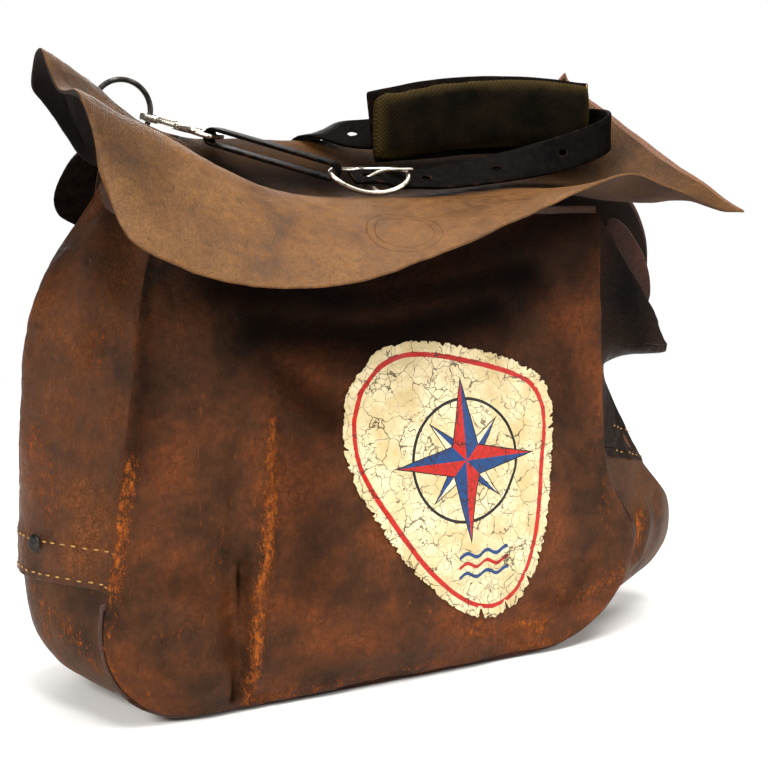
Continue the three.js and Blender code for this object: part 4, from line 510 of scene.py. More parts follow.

# each hide of the bag: its side's materials, smoothing, swells, small folds, creases, rubbed places with one painted
# highlight among them, and painted shade
hides = {
    "front_panel": {
        "look": panelLook, "slot": "panel_leather", "level": 3, "way": frontWay,
        "swells": [(0.11, 0.006), (0.04, 0.0022)],
        "wrinkles": [(38, 0.8, 3, 1), (17, 0.45, 8, 1.3), (8, 0.2, 14, 1)],
        "creases": [
            ([(-112, -50, 235), (-84, -50, 222), (-52, -52, 214)], 1.6, 5, (0, 1, 0)),
            ([(-108, -50, 216), (-80, -52, 206), (-62, -54, 196)], 1.3, 4, (0, 1, 0)),
            ([(-60, -44, 262), (-30, -46, 243), (-8, -46, 236)], 1.0, 6, (0, 1, 0)),
            ([(-155, -47, 150), (-168, -52, 118), (-160, -58, 84)], 3.0, 14, (0, 1, 0)),
            ([(-145, -62, 104), (-149, -66, 54), (-151, -60, 14)], 4.6, 4, (0, 1, 0)),
            ([(-139, -60, 150), (-145, -62, 108)], 1.8, 6, (0, 1, 0)),
            ([(-120, -54, 200), (-127, -64, 130), (-138, -68, 70), (-141, -60, 16)], 4.0, 8, (0, -1, 0)),
            ([(-196, -64, 58), (-176, -68, 46), (-168, -66, 36)], 5.0, 22, (0, -1, 0)),
            ([(-176, -40, 300), (-186, -46, 220), (-196, -50, 170)], 2.6, 16, (0, 1, 0)),
            ([(128, -44, 290), (134, -48, 220), (130, -54, 150)], 2.2, 14, (0, 1, 0)),
            ([(-96, -42, 280), (-60, -50, 190), (-70, -60, 120)], 3.0, 22, (0, 1, 0)),
            ([(-228, -60, 104), (-202, -66, 92), (-172, -66, 98)], 2.6, 11, (0, 1, 0)),
            ([(-20, -48, 60), (20, -60, 90)], 2.0, 26, (0, -1, 0)),
            ([(-205, -66, 62), (-186, -68, 74), (-160, -68, 70)], 2.4, 9, (0, -1, 0)),
            ([(-204, -62, 42), (-182, -64, 50), (-158, -64, 46)], 2.2, 8, (0, 1, 0)),
            ([(70, -60, 40), (96, -60, 32), (128, -58, 36)], 2.0, 7, (0, 1, 0)),
            ([(104, -60, 60), (132, -58, 66), (152, -56, 84)], 2.2, 7, (0, 1, 0)),
            ([(118, -58, 44), (146, -58, 52), (172, -56, 58)], 2.4, 6, (0, -1, 0)),
            ([(30, -66, 34), (60, -62, 22), (90, -58, 20)], 1.4, 5, (0, 1, 0)),
        ],
        "wearAndSheen": [
            ([(-120, -54, 200), (-121, -56, 180), (-127, -64, 135), (-138, -70, 82), (-142, -60, 9)], 8, 0.74),
            ([(-124, -62, 150), (-132, -70, 100)], 8, 0.9), ([(-141, -70, 60), (-143, -64, 14)], 6, 0.9),
            ([(-216, -48, 182), (-222, -52, 160), (-232, -56.9, 100)], 10, 0.68),
            ([(-234, -57, 98), (-238, -56.7, 53), (-224, -54, 18)], 8, 0.5),
            ([(-205, -66, 66), (-176, -68, 76)], 12, 0.42),
            ([(-140, -58, 8), (-40, -66, 8), (60, -62, 7), (150, -54, 10)], 9, 0.55),
            ([(30, -66, 36), (62, -64, 26), (96, -60, 24)], 13, 0.66),
            ([(100, -60, 40), (134, -58, 42), (170, -56, 56)], 10, 0.62),
            # painted highlight: a sheen along the panel's rounded right edge
            ([(147, -41, 290), (152.8, -49.5, 192), (155, -57, 84)], 11, 0.4),
            ([(-168, -68, 100), (-160, -60, 128)], 14, 0.4),
            ([(-20, -66, 60), (10, -68, 40)], 14, 0.45),
        ],
        # painted shade: the flap's shadow across the panel's top and its slanting edge, shade along the gusset seam,
        # down the panel's middle, in the groove and in the creases
        "dark": [
            ([(-110, -42, 310), (-20, -44, 290), (60, -42, 310), (140, -38, 340)], 46, 0.95),
            ([(-126, -45, 262), (-34, -46, 252), (60, -43, 266)], 34, 0.97),
            ([(-150, -43, 292), (-30, -44, 278), (90, -41, 292)], 36, 0.97), ([(84, -41, 290), (140, -36, 305)], 30,
                                                                              0.6),
            ([(-146, -44, 268), (-104, -49, 226), (-76, -52, 196)], 20, 0.8),
            ([(-40, -52, 236), (20, -50, 240)], 30, 0.6),
            ([(-60, -46, 250), (0, -46, 250), (60, -46, 262)], 36, 0.55),
            ([(-196, -36, 310), (-206, -46, 230), (-214, -50, 190)], 9, 0.6),
            ([(110, -45, 260), (122, -50, 190)], 18, 0.35), ([(-170, -44, 290), (-130, -42, 310)], 40, 0.55),
            ([(-90, -50, 250), (-100, -56, 150), (-96, -62, 90)], 24, 0.42),
            ([(-200, -46, 240), (-214, -52, 180)], 12, 0.4), ([(-190, -64, 100), (-176, -66, 92)], 12, 0.3),
            ([(-146, -62, 100), (-151, -66, 54), (-153, -60, 12)], 3, 0.9),
            ([(90, -60, 50), (116, -58, 40), (142, -58, 62)], 8, 0.35),
        ],
    },
    "back_panel": {
        "look": panelLook, "slot": "panel_leather", "level": 3, "way": (0, 1, 0),
        "swells": [(0.12, 0.006), (0.045, 0.002)],
        "wrinkles": [(36, 0.5, 5, 1), (14, 0.25, 9, 1)],
        "creases": [
            ([(-150, 95, 60), (-90, 97, 46), (-20, 97, 40)], 2.0, 8, (0, -1, 0)),
            ([(40, 97, 54), (90, 96, 70), (140, 95, 96)], 2.2, 8, (0, -1, 0)),
            ([(-190, 94, 130), (-150, 96, 150), (-120, 96, 190)], 1.6, 7, (0, -1, 0)),
        ],
        "wearAndSheen": [([(-230, 92, 70), (-180, 94, 12), (-40, 94, 7), (90, 94, 8), (180, 92, 60)], 11, 0.55),
                 ([(-100, 98, 170), (0, 99, 150), (100, 98, 180)], 45, 0.3)],
        # painted shade at the panel's top, under the flap
        "dark": [([(-120, 92, 360), (120, 92, 350)], 30, 0.45)],
    },
    "left_gusset": {
        "look": gussetLook, "slot": "panel_leather", "level": 3, "way": leftWay,
        "swells": [(0.08, 0.005), (0.03, 0.0022)],
        "wrinkles": [(26, 0.8, 11, 0.8), (12, 0.5, 12, 1), (6, 0.2, 15, 1)],
        "creases": [
            ([(-221, -10, 258)], 6, 15, (1, 0.5, 0)),
            ([(-228, -8, 240), (-240, -6, 210), (-244, -14, 176)], 2.4, 9, (1, 0, 0)),
            ([(-208, -24, 262), (-214, -30, 220), (-226, -34, 176)], 2.6, 8, (1, 0.6, 0)),
            ([(-236, 12, 236), (-250, 18, 200)], 2.2, 7, (1, 0, 0)),
            ([(-214, 0, 316), (-208, -12, 286), (-210, -22, 262)], 2.0, 7, (1, 0, 0)),
            ([(-222, 30, 300), (-232, 30, 270), (-246, 34, 226)], 2.0, 9, (1, 0, 0)),
        ],
        "wearAndSheen": [
            ([(-262, 18, 190), (-262, 12, 165), (-256, 2, 145)], 18, 0.55),
            ([(-216, 4, 320), (-222, 0, 290)], 9, 0.42),
            ([(-226, -10, 258), (-232, -6, 246)], 14, 0.5),
            ([(-240, 40, 230), (-252, 50, 180)], 22, 0.42),
        ],
        # painted shade: at the gusset's top under the flap, and along its seam with the front panel
        "dark": [([(-204, 20, 345), (-214, -20, 300)], 24, 0.75), ([(-226, 40, 330), (-236, 36, 290)], 20, 0.6),
                 ([(-205, -38, 300), (-216, -44, 220), (-226, -48, 150)], 9, 0.5)],
    },
    "right_gusset": {
        "look": shadedGussetLook, "slot": "panel_leather", "level": 3, "way": rightWay,
        "swells": [(0.09, 0.004), (0.035, 0.0016)],
        "wrinkles": [(24, 0.4, 21, 0.8), (10, 0.25, 22, 1)],
        "creases": [
            ([(196, -24, 172), (210, -20, 150), (226, -16, 128)], 3.4, 8, (-1, 0.3, 0)),
            ([(206, -10, 178), (222, -4, 150), (240, -2, 124)], 2.2, 6, (-1, 0, 0)),
            ([(186, -30, 150), (200, -30, 124)], 2.4, 6, (-1, 0, 0)),
            ([(200, 40, 160), (226, 40, 130)], 3.0, 9, (-1, 0, 0)),
        ],
        "wearAndSheen": [([(268, 20, 226), (262, 24, 250)], 8, 0.5), ([(216, -16, 140), (238, -10, 118)], 10, 0.45)],
        # painted shade: over the gusset's upper half, in a crease and at its back top
        "dark": [([(200, -10, 280), (210, 0, 220), (190, 0, 170)], 46, 0.85),
                 ([(190, -26, 160), (206, -24, 126)], 12, 0.5), ([(240, 30, 240), (250, 60, 250)], 40, 0.7)],
    },
    "bottom_strip": {
        "look": stripLook, "slot": "panel_leather", "level": 3,
        "swells": [(0.07, 0.004), (0.03, 0.0016)],
        "creases": [
            ([(198, -38, 104), (204, -34, 84), (200, -36, 60)], 3.4, 6, (-1, 0.5, 0)),
            ([(216, -32, 112), (216, -30, 88), (206, -32, 56)], 3.0, 6, (1, -0.5, 0)),
            ([(236, -20, 100), (232, -18, 76), (214, -22, 44)], 3.0, 8, (-1, 0.4, 0)),
        ],
        "wearAndSheen": [
            ([(-269, 22, 84), (-256, -6, 66), (-240, -30, 40)], 13, 0.56),
            ([(-262, 10, 60), (-246, 6, 30), (-222, 0, 10)], 12, 0.55),
            ([(209, -37, 92), (204, -39, 74), (192, -44, 50)], 8, 0.85),
            ([(236, -20, 96), (226, -22, 60), (196, -30, 22)], 14, 0.5),
            ([(-200, -46, 6), (0, -48, 4), (160, -46, 8)], 10, 0.5),
        ],
        # painted shade on the strip at its right side
        "dark": [([(268, 10, 110), (262, 20, 80)], 22, 0.4)],
    },
}

shown = {}


def finishHide(node, hide, materials):
    piece = fromNode(node, node + "_leather")
    points = sortSides(piece, hide.get("inside", bagMiddle), hide.get("thickness", 0.0026))
    smoothSkin(piece, hide["level"], hide.get("rounded", 0.0006))
    markRim(piece, points)
    for name in ("wearAndSheen", "dark", "fleshShade"):
        strokes(piece, name, hide.get(name, []))
    swell(piece, hide.get("swells", []))
    if "wrinkles" in hide:
        wrinkle(piece, hide["way"], hide["wrinkles"])
    press(piece, hide.get("creases", []))
    co = coords(piece)
    co[:, 2] = np.maximum(co[:, 2], 0.0002)  # it stands on the floor
    setCoords(piece, co)
    for i, material in enumerate(materials):
        piece.data.materials[i] = material
    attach(piece, "bag")
    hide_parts(node)
    shown[node] = piece
    return piece


for node, hide in hides.items():
    leather = oiledLeather(node + "_oiledLeather", hide["look"])
    finishHide(node, hide, (leather, bagFlesh, bagEdge))
    print("hide done:", node, len(shown[node].data.polygons))

flapHide = {
    "look": flapLook, "slot": "flap_leather", "level": 3, "way": (0, -0.35, 0.94),
    "inside": Vector((-0.01, 0.0, 0.1)),
    "swells": [(0.1, 0.005), (0.035, 0.0016)],
    "wrinkles": [(30, 0.4, 31, 1), (11, 0.2, 32, 1)],
    "creases": [
        ([(-190, -52, 376), (-160, -50, 366), (-120, -48, 352)], 1.2, 6, (0, 0, -1)),
        ([(-60, -60, 338), (0, -62, 338), (60, -62, 344)], 0.9, 5, (0, 0, -1)),
        ([(180, -92, 354), (212, -92, 350), (236, -84, 350)], 9, 24, (0, 0, -1)),
    ],
    "wearAndSheen": [
        ([(-205, -60, 372), (-173, -71, 350), (-116, -80, 326)], 40, 0.34),
        ([(-90, -40, 348), (20, -47, 346), (130, -60, 352)], 16, 0.42),
        ([(-199, 85, 395), (-220, 20, 420)], 30, 0.3),
        ([(26, -100, 332), (120, -90, 350)], 20, 0.32),
    ],
    # painted shade: the flap's back part and the valley under the strap, its left and right ends and its back corner
    "dark": [
        ([(-110, 50, 378), (-60, 45, 366), (40, 45, 362), (190, 50, 370)], 52, 1.0),
        ([(-110, 10, 352), (-40, -2, 344), (60, -2, 344), (150, 4, 350)], 22, 0.95),
        ([(-170, 70, 400), (-120, 50, 380)], 34, 0.6),
        ([(-210, 70, 410), (-236, 20, 420), (-222, -50, 398), (-212, -70, 378)], 36, 0.5),
        ([(200, -20, 370), (240, -60, 355), (230, 20, 385)], 40, 0.45),
        ([(216, 99, 441), (210, 90, 410)], 26, 0.8),
    ],
    # painted shade on the flap's flesh side: under its curled left end and inside the bag
    "fleshShade": [([(-236, 20, 420), (-226, 80, 390), (-200, 60, 370)], 70, 1.0),
             ([(-60, 20, 340), (120, 20, 340)], 60, 0.7)],
}
flapStamp = {"place": (-0.033, -0.0816, 0.331), "radii": (0.026, 0.0205), "width": 0.0007, "depth": 0.9}


# two plain rings pressed into the front of the flap
def pressRings(material, stamp):
    tree = material.node_tree
    bump = [n for n in tree.nodes if n.bl_idname == "ShaderNodeBump"][0]
    place = addNode(tree, "TexCoord").outputs["Object"]
    off = addNode(tree, "VectorMath", {0: place, 1: stamp["place"]}, operation="DISTANCE")
    lift = bump.inputs["Height"].links[0].from_socket
    for radius in stamp["radii"]:
        step = addNode(tree, "Math", {0: off.outputs["Value"], 1: radius}, operation="SUBTRACT")
        near = addNode(tree, "Math", {0: step}, operation="ABSOLUTE")
        dip = addNode(tree, "MapRange", {"Value": near, "From Max": stamp["width"], "To Min": -stamp["depth"],
                                         "To Max": 0.0}, interpolation_type="SMOOTHSTEP")
        lift = addNode(tree, "Math", {0: lift, 1: dip}, operation="ADD")
    wire(tree, bump, {"Height": lift})


flapLeather = oiledLeather("flap_oiledLeather", flapLook)
pressRings(flapLeather, flapStamp)
finishHide("flap", flapHide, (flapLeather, flapFlesh, flapEdge))
print("flap done:", len(shown["flap"].data.polygons))

# ears and welt: small stiff pieces of the same hides
smallHides = {
    # the ears' dark strokes, here and on the right ear, are painted shade under the flap's ends
    "left_ear": {"level": 2, "creases": [([(-204, 60, 352)], 9, 40, (1, 0, 0))],
                 "wearAndSheen": [([(-197, 60, 376)], 10, 0.4)], "dark": [([(-197, 60, 350)], 16, 0.7)]},
    "right_ear": {"level": 3, "dark": [([(215, 50, 330)], 20, 0.3)]},
    "right_inner_ear": {"level": 3, "wearAndSheen": [([(245, 0, 262), (225, 0, 300)], 14, 0.4)]},
    "front_welt": {"level": 2, "wearAndSheen": [([(-240, -50, 60), (-200, -50, 8), (150, -50, 12)], 10, 0.5)],
                   "thickness": 0.0018},
}
earLeather = oiledLeather("ear_oiledLeather", earLook)
for node, hide in smallHides.items():
    plain = {"slot": "panel_leather", "swells": [(0.03, 0.0012)], "rounded": 0.0005, "thickness": 0.0022}
    finishHide(node, dict(plain, **hide), (earLeather, bagFlesh, bagEdge))

# black straps, dyed through: one leather on all their sides
blackHides = {
    "left_chape": {"level": 2, "thickness": 0.0022, "leather": chapeLeather},
    "right_chape": {"level": 2, "thickness": 0.0022, "leather": chapeLeather},
    "strap": {"level": 1, "thickness": 0.0032, "leather": strapLeather},
    "billet": {"level": 2, "thickness": 0.0032, "leather": strapLeather},
    "shoulder_pad_backing": {"level": 3, "thickness": 0.003, "leather": chapeLeather, "swells": [(0.03, 0.001)],
                             "rounded": 0.0007},
}
for node, hide in blackHides.items():
    finishHide(node, dict({"slot": "strap_leather", "rounded": 0.0004}, **hide), [hide["leather"]] * 3)
print("ears, chapes and straps done")


# metal: rounded along its sharp edges and smoothed
metals = {
    "buckle": {"level": 2, "rounded": 0.0004, "metal": nickel, "slot": "nickel"},
    "buckle_prong": {"level": 1, "rounded": 0.00025, "metal": nickel, "slot": "nickel"},
    "left_hook": {"level": 1, "rounded": 0.0005, "metal": nickel, "slot": "nickel"},
    "right_hook": {"level": 1, "rounded": 0.0005, "metal": nickel, "slot": "nickel"},
    "hook_gate": {"level": 1, "rounded": 0.0003, "metal": nickel, "slot": "nickel"},
}
for node in ("left_ring", "right_ring", "hem_rivet"):
    metals[node] = {"level": 2, "rounded": 0.0003, "metal": iron, "slot": "iron"}
for node, metal in metals.items():
    piece = fromNode(node, node + "_metal")
    smoothSkin(piece, metal["level"], metal["rounded"], 50)
    piece.data.materials.append(metal["metal"])
    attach(piece, "gate" if node == "hook_gate" else "bag")
    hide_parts(node)
    shown[node] = piece
print("metal done")


# The printed patch: screen ink on a sprayed lacquer ground, aged to cream and cracked through to the leather.
patchDesign = {
    "cells": 190, "stand": 0.0004, "thickness": 0.0007, "torn": 0.0042, "notch": 0.022, "curl": 0.0009,
    "cream": "#dccba2", "creamDark": "#bda775", "red": "#ab1a0e", "blue": "#11396b", "ink": "#080606",
    "crack": "#2a170b", "wideCrack": 0.017, "fineCrack": 0.0075, "border": (0.0082, 0.0122), "middle": (0.028, 0.16),
    "star": 0.058, "small": 0.039, "outline": (0.0022, 0.0014), "ring": 0.044, "line": 0.0011,
    "waves": {-0.068: "blue", -0.0755: "red", -0.083: "blue"}, "waveLength": 0.018, "waveRise": 0.0018,
    "waveWidth": 0.0014, "waveReach": (0.011, 0.022),
}


# the patch's outline seen from the front, as a radius for each bearing from its middle
def patchOutline(node):
    co = np.array([tuple(v.co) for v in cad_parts[node].data.vertices])[:, [0, 2]]
    centre = (co.min(0) + co.max(0)) / 2
    dots = sorted(set(tuple(np.round(p, 6)) for p in co - centre))
    hull = []
    for way in (dots, dots[::-1]):
        side = []
        for dot in way:
            while len(side) > 1 and ((side[-1][0] - side[-2][0]) * (dot[1] - side[-2][1])
                                     - (side[-1][1] - side[-2][1]) * (dot[0] - side[-2][0])) <= 0:
                side.pop()
            side.append(dot)
        hull += side[:-1]
    hull = np.array(hull)
    bearing = np.arctan2(hull[:, 1], hull[:, 0])
    order = np.argsort(bearing)
    bearing, radius = bearing[order], np.hypot(hull[:, 0], hull[:, 1])[order]
    bearing = np.concatenate([bearing - 2 * math.pi, bearing, bearing + 2 * math.pi])
    steps = np.linspace(-math.pi, math.pi, 361)
    table = np.interp(steps, bearing, np.tile(radius, 3))
    table = np.convolve(np.concatenate([table[-8:-1], table, table[1:8]]), np.ones(15) / 15, "same")[7:-7]
    return centre, steps, table


# a place on a ring in the noise, so that what is torn by it closes on itself
def onRing(bearing, size, seed):
    return Vector((math.cos(bearing) * size, math.sin(bearing) * size, seed))


def makePatch(design):
    centre, steps, table = patchOutline("front_patch")
    bpy.ops.object.select_all(action="DESELECT")
    bpy.ops.mesh.primitive_grid_add(x_subdivisions=design["cells"], y_subdivisions=design["cells"], size=2)
    piece = bpy.context.object
    piece.name = "printed_patch_skin"
    co = coords(piece)
    x, y = co[:, 0].copy(), co[:, 1].copy()
    u = x * np.sqrt(np.maximum(1 - y * y / 2, 0))
    v = y * np.sqrt(np.maximum(1 - x * x / 2, 0))
    bearing, share = np.arctan2(v, u), np.hypot(u, v)
    reach = np.interp(bearing, steps, table)
    torn = np.array([noise.noise(onRing(b, 9, 4)) + 0.5 * noise.noise(onRing(b, 34, 7)) for b in bearing])
    notch = np.array([max(0.0, noise.noise(onRing(b, 22, 2)) - 0.32) for b in bearing])
    cut = reach - np.abs(torn) * design["torn"] - notch * design["notch"]
    radius = share * reach
    radius = np.where(share > 0.9, 0.9 * reach + (share - 0.9) / 0.1 * (cut - 0.9 * reach), radius)
    tree = BVHTree.FromObject(shown["front_panel"], bpy.context.evaluated_depsgraph_get())
    px, pz = centre[0] + np.cos(bearing) * radius, centre[1] + np.sin(bearing) * radius
    for i in range(len(co)):
        hit, normal, _, _ = tree.ray_cast(Vector((px[i], -0.3, pz[i])), Vector((0, 1, 0)))
        loose = max(0.0, (share[i] - 0.93) / 0.07) * max(0.0, noise.noise(Vector((px[i], 0, pz[i])) * 60))
        lift = design["stand"] + design["curl"] * loose
        co[i] = hit + normal * (lift + design["thickness"]) if hit else (px[i], -0.06, pz[i])
    setCoords(piece, co)
    writeShade(piece, "inset", np.maximum(reach * (1 - share), 0))
    bpy.context.view_layer.objects.active = piece
    editAll(lambda: bpy.ops.mesh.normals_make_consistent(inside=False))
    if sum(p.normal.y * p.area for p in piece.data.polygons) > 0:
        editAll(bpy.ops.mesh.flip_normals)
    wall = piece.modifiers.new("wall", "SOLIDIFY")
    wall.thickness = design["thickness"]
    wall.offset = -1
    bpy.ops.object.modifier_apply(modifier="wall")
    bpy.ops.object.shade_smooth_by_angle(angle=math.radians(50))
    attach(piece, "bag")
    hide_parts("front_patch")
    shown["front_patch"] = piece
    return piece


# a plain eight-pointed wind rose in blue and red, a thin circle and waves under it
def patchPrint(design):
    material, tree, shader = newMaterial("screenPrintedLacquer")
    place = addNode(tree, "TexCoord").outputs["Object"]
    parts = addNode(tree, "SeparateXYZ", {0: place})
    x = addNode(tree, "Math", {0: parts.outputs["X"], 1: design["middle"][0]}, operation="SUBTRACT")
    z = addNode(tree, "Math", {0: parts.outputs["Z"], 1: design["middle"][1]}, operation="SUBTRACT")
    bearing = addNode(tree, "Math", {0: z, 1: x}, operation="ARCTAN2")
    x2 = addNode(tree, "Math", {0: x, 1: x}, operation="MULTIPLY")
    square = addNode(tree, "Math", {0: z, 1: z, 2: x2}, operation="MULTIPLY_ADD")
    radius = addNode(tree, "Math", {0: square}, operation="SQRT")

    cloud = addNode(tree, "TexNoise", {"Vector": place, "Scale": 1 / 0.03, "Detail": 6, "Roughness": 0.65})
    fine = addNode(tree, "TexNoise", {"Vector": place, "Scale": 1 / 0.004, "Detail": 6, "Roughness": 0.7})
    colour = addNode(tree, "ValToRGB", {"Fac": cloud.outputs["Fac"]},
                     stops=[(0.38, design["creamDark"]), (0.6, design["cream"])])

    # border line, inside the torn edge
    inset = addNode(tree, "Attribute", attribute_name="inset").outputs["Fac"]
    low, high = design["border"]
    band = addNode(tree, "Math", {0: inset, 1: (low + high) / 2, 2: (high - low) / 2}, operation="COMPARE")
    colour = addNode(tree, "Mix", {"Factor": band, "A": colour, "B": toLinear(design["red"])},
                     data_type="RGBA").outputs[2]

    # thin circle
    circle = addNode(tree, "Math", {0: radius, 1: design["ring"], 2: design["line"]}, operation="COMPARE")
    colour = addNode(tree, "Mix", {"Factor": circle, "A": colour, "B": toLinear(design["ink"])},
                     data_type="RGBA").outputs[2]

    # the short points lie under the long ones; each point is half dark and half light, in an ink outline
    for reach, turnBy, halves in ((design["small"], math.pi / 4, ("blue", "cream")),
                                  (design["star"], 0.0, ("blue", "red"))):
        turned = addNode(tree, "Math", {0: bearing, 1: turnBy + 4 * math.pi}, operation="ADD")
        folded = addNode(tree, "Math", {0: turned, 1: math.pi / 4}, operation="PINGPONG")
        cosine = addNode(tree, "Math", {0: folded}, operation="COSINE")
        sine = addNode(tree, "Math", {0: folded}, operation="SINE")
        along = addNode(tree, "Math", {0: cosine, 1: radius}, operation="MULTIPLY")
        across = addNode(tree, "Math", {0: sine, 1: radius}, operation="MULTIPLY")
        notch = reach * 0.26 * math.sqrt(0.5)
        slope = (reach - notch) / notch
        edge = addNode(tree, "Math", {0: across, 1: slope, 2: along}, operation="MULTIPLY_ADD")
        outer = addNode(tree, "Math", {0: edge, 1: reach + design["outline"][0]}, operation="LESS_THAN")
        inner = addNode(tree, "Math", {0: edge, 1: reach - design["outline"][1]}, operation="LESS_THAN")
        half = addNode(tree, "Math", {0: turned, 1: math.pi / 2}, operation="FLOORED_MODULO")
        side = addNode(tree, "Math", {0: half, 1: math.pi / 4}, operation="LESS_THAN")
        fill = addNode(tree, "Mix", {"Factor": side, "A": toLinear(design[halves[0]]),
                                     "B": toLinear(design[halves[1]])}, data_type="RGBA").outputs[2]
        colour = addNode(tree, "Mix", {"Factor": outer, "A": colour, "B": toLinear(design["ink"])},
                         data_type="RGBA").outputs[2]
        colour = addNode(tree, "Mix", {"Factor": inner, "A": colour, "B": fill}, data_type="RGBA").outputs[2]

    # three waves under the rose
    swing = addNode(tree, "Math", {0: x, 1: 2 * math.pi / design["waveLength"]}, operation="MULTIPLY")
    sine = addNode(tree, "Math", {0: swing}, operation="SINE")
    sway = addNode(tree, "Math", {0: sine, 1: design["waveRise"], 2: z}, operation="MULTIPLY_ADD")
    inside = addNode(tree, "Math", {0: x, 1: design["waveReach"][0], 2: design["waveReach"][1]}, operation="COMPARE")
    for drop, wet in design["waves"].items():
        wave = addNode(tree, "Math", {0: sway, 1: drop, 2: design["waveWidth"]}, operation="COMPARE")
        both = addNode(tree, "Math", {0: wave, 1: inside}, operation="MULTIPLY")
        colour = addNode(tree, "Mix", {"Factor": both, "A": colour, "B": toLinear(design[wet])},
                         data_type="RGBA").outputs[2]

    # cracks: wide ones about 13 mm apart and fine ones about 5 mm apart, open and closed by slow noise
    slow = addNode(tree, "TexNoise", {"Vector": place, "Scale": 1 / 0.02, "Detail": 3, "Roughness": 0.6})
    bend = addNode(tree, "VectorMath", {0: slow.outputs["Color"], "Scale": 0.018}, operation="SCALE")
    bent = addNode(tree, "VectorMath", {0: place, 1: bend}, operation="ADD")
    jitter = addNode(tree, "VectorMath", {0: fine.outputs["Color"], "Scale": 0.003}, operation="SCALE")
    bent = addNode(tree, "VectorMath", {0: bent, 1: jitter}, operation="ADD")
    wide = addNode(tree, "TexVoronoi", {"Vector": bent, "Scale": 1 / design["wideCrack"]}, feature="DISTANCE_TO_EDGE")
    small = addNode(tree, "TexVoronoi", {"Vector": bent, "Scale": 1 / design["fineCrack"]},
                    feature="DISTANCE_TO_EDGE")
    openBy = addNode(tree, "MapRange", {"Value": cloud.outputs["Fac"], "From Min": 0.42, "From Max": 0.66,
                                        "To Min": 0.0, "To Max": 0.035})
    wideBy = addNode(tree, "MapRange", {"Value": slow.outputs["Fac"], "From Min": 0.35, "From Max": 0.7,
                                        "To Min": 0.004, "To Max": 0.026})
    wideOpen = addNode(tree, "Math", {0: wide.outputs["Distance"], 1: wideBy}, operation="LESS_THAN")
    smallOpen = addNode(tree, "Math", {0: small.outputs["Distance"], 1: openBy}, operation="LESS_THAN")
    cracks = addNode(tree, "Math", {0: wideOpen, 1: smallOpen}, operation="MAXIMUM")
    chips = addNode(tree, "Math", {0: fine.outputs["Fac"], 1: 0.685}, operation="GREATER_THAN")
    gone = addNode(tree, "Math", {0: cracks, 1: chips}, operation="MAXIMUM")
    faded = addNode(tree, "Math", {0: gone, 1: 0.82}, operation="MULTIPLY")
    colour = addNode(tree, "Mix", {"Factor": faded, "A": colour, "B": toLinear(design["crack"])},
                     data_type="RGBA").outputs[2]
    dull = addNode(tree, "MapRange", {"Value": fine.outputs["Fac"], "From Min": 0.3, "From Max": 0.7, "To Min": 0.34,
                                      "To Max": 0.6})
    lift = addNode(tree, "Math", {0: gone, 1: -0.9, 2: fine.outputs["Fac"]}, operation="MULTIPLY_ADD")
    bump = addNode(tree, "Bump", {"Height": lift, "Strength": 0.4, "Distance": 0.0006})
    wire(tree, shader, {"Base Color": colour, "Roughness": dull, "Specular IOR Level": 0.3, "Normal": bump})
    return material


patch = makePatch(patchDesign)
patch.data.materials.append(patchPrint(patchDesign))
print("patch done")


# Waxed cotton duck, plain woven: matt olive brown threads 2.2 mm apart, drawn coarser than real ones so that they
# show, with dirt between them and paler where the pad's edges rub
def waxedCanvas(look):
    material, tree, shader = newMaterial("waxedCottonDuck")
    place = addNode(tree, "TexCoord").outputs["Object"]
    leant = addNode(tree, "Mapping", {"Vector": place, "Rotation": (0, math.radians(38), 0)})
    wave = {"Vector": leant, "Scale": 1 / look["thread"] / 6.28 * 2, "Distortion": 0.6, "Detail": 1}
    warp = addNode(tree, "TexWave", wave, bands_direction="X")
    weft = addNode(tree, "TexWave", wave, bands_direction="Z")
    weave = addNode(tree, "Math", {0: warp.outputs["Fac"], 1: weft.outputs["Fac"]}, operation="MULTIPLY")
    dirt = addNode(tree, "TexNoise", {"Vector": place, "Scale": 1 / 0.03, "Detail": 6, "Roughness": 0.65})
    tone = addNode(tree, "ValToRGB", {"Fac": dirt.outputs["Fac"]}, stops=[(0.34, look["dark"]), (0.66, look["pale"])])
    thread = addNode(tree, "MapRange", {"Value": weave, "To Min": 0.6, "To Max": 1.35})
    mixed = addNode(tree, "VectorMath", {0: tone, "Scale": thread}, operation="SCALE")
    edge = addNode(tree, "Attribute", attribute_name="edge").outputs["Fac"]
    shake = addNode(tree, "Math", {0: dirt.outputs["Fac"], 1: 0.45, 2: edge}, operation="MULTIPLY_ADD")
    rubbed = addNode(tree, "ValToRGB", {"Fac": shake}, stops=[(0.45, 0.0), (1.0, 0.85)])
    pale = addNode(tree, "VectorMath", {0: toLinear(look["rubbed"])[:3], "Scale": thread}, operation="SCALE")
    cloth = addNode(tree, "Mix", {"Factor": rubbed, "A": mixed, "B": pale}, data_type="RGBA")
    bump = addNode(tree, "Bump", {"Height": weave, "Strength": 0.55, "Distance": 0.0007})
    wire(tree, shader, {"Base Color": cloth.outputs[2], "Roughness": 0.86, "Specular IOR Level": 0.03,
                        "Normal": bump})
    return material


# voxel size, thread spacing, the most that the pressure may move and the rubbed band's width in metres
padding = {"voxel": 0.004, "pressure": 4, "cap": 0.003, "shrink": 0.985, "frames": 20, "thread": 0.0022,
           "rubWidth": 0.006, "dark": "#070502", "pale": "#181107", "rubbed": "#372b13"}


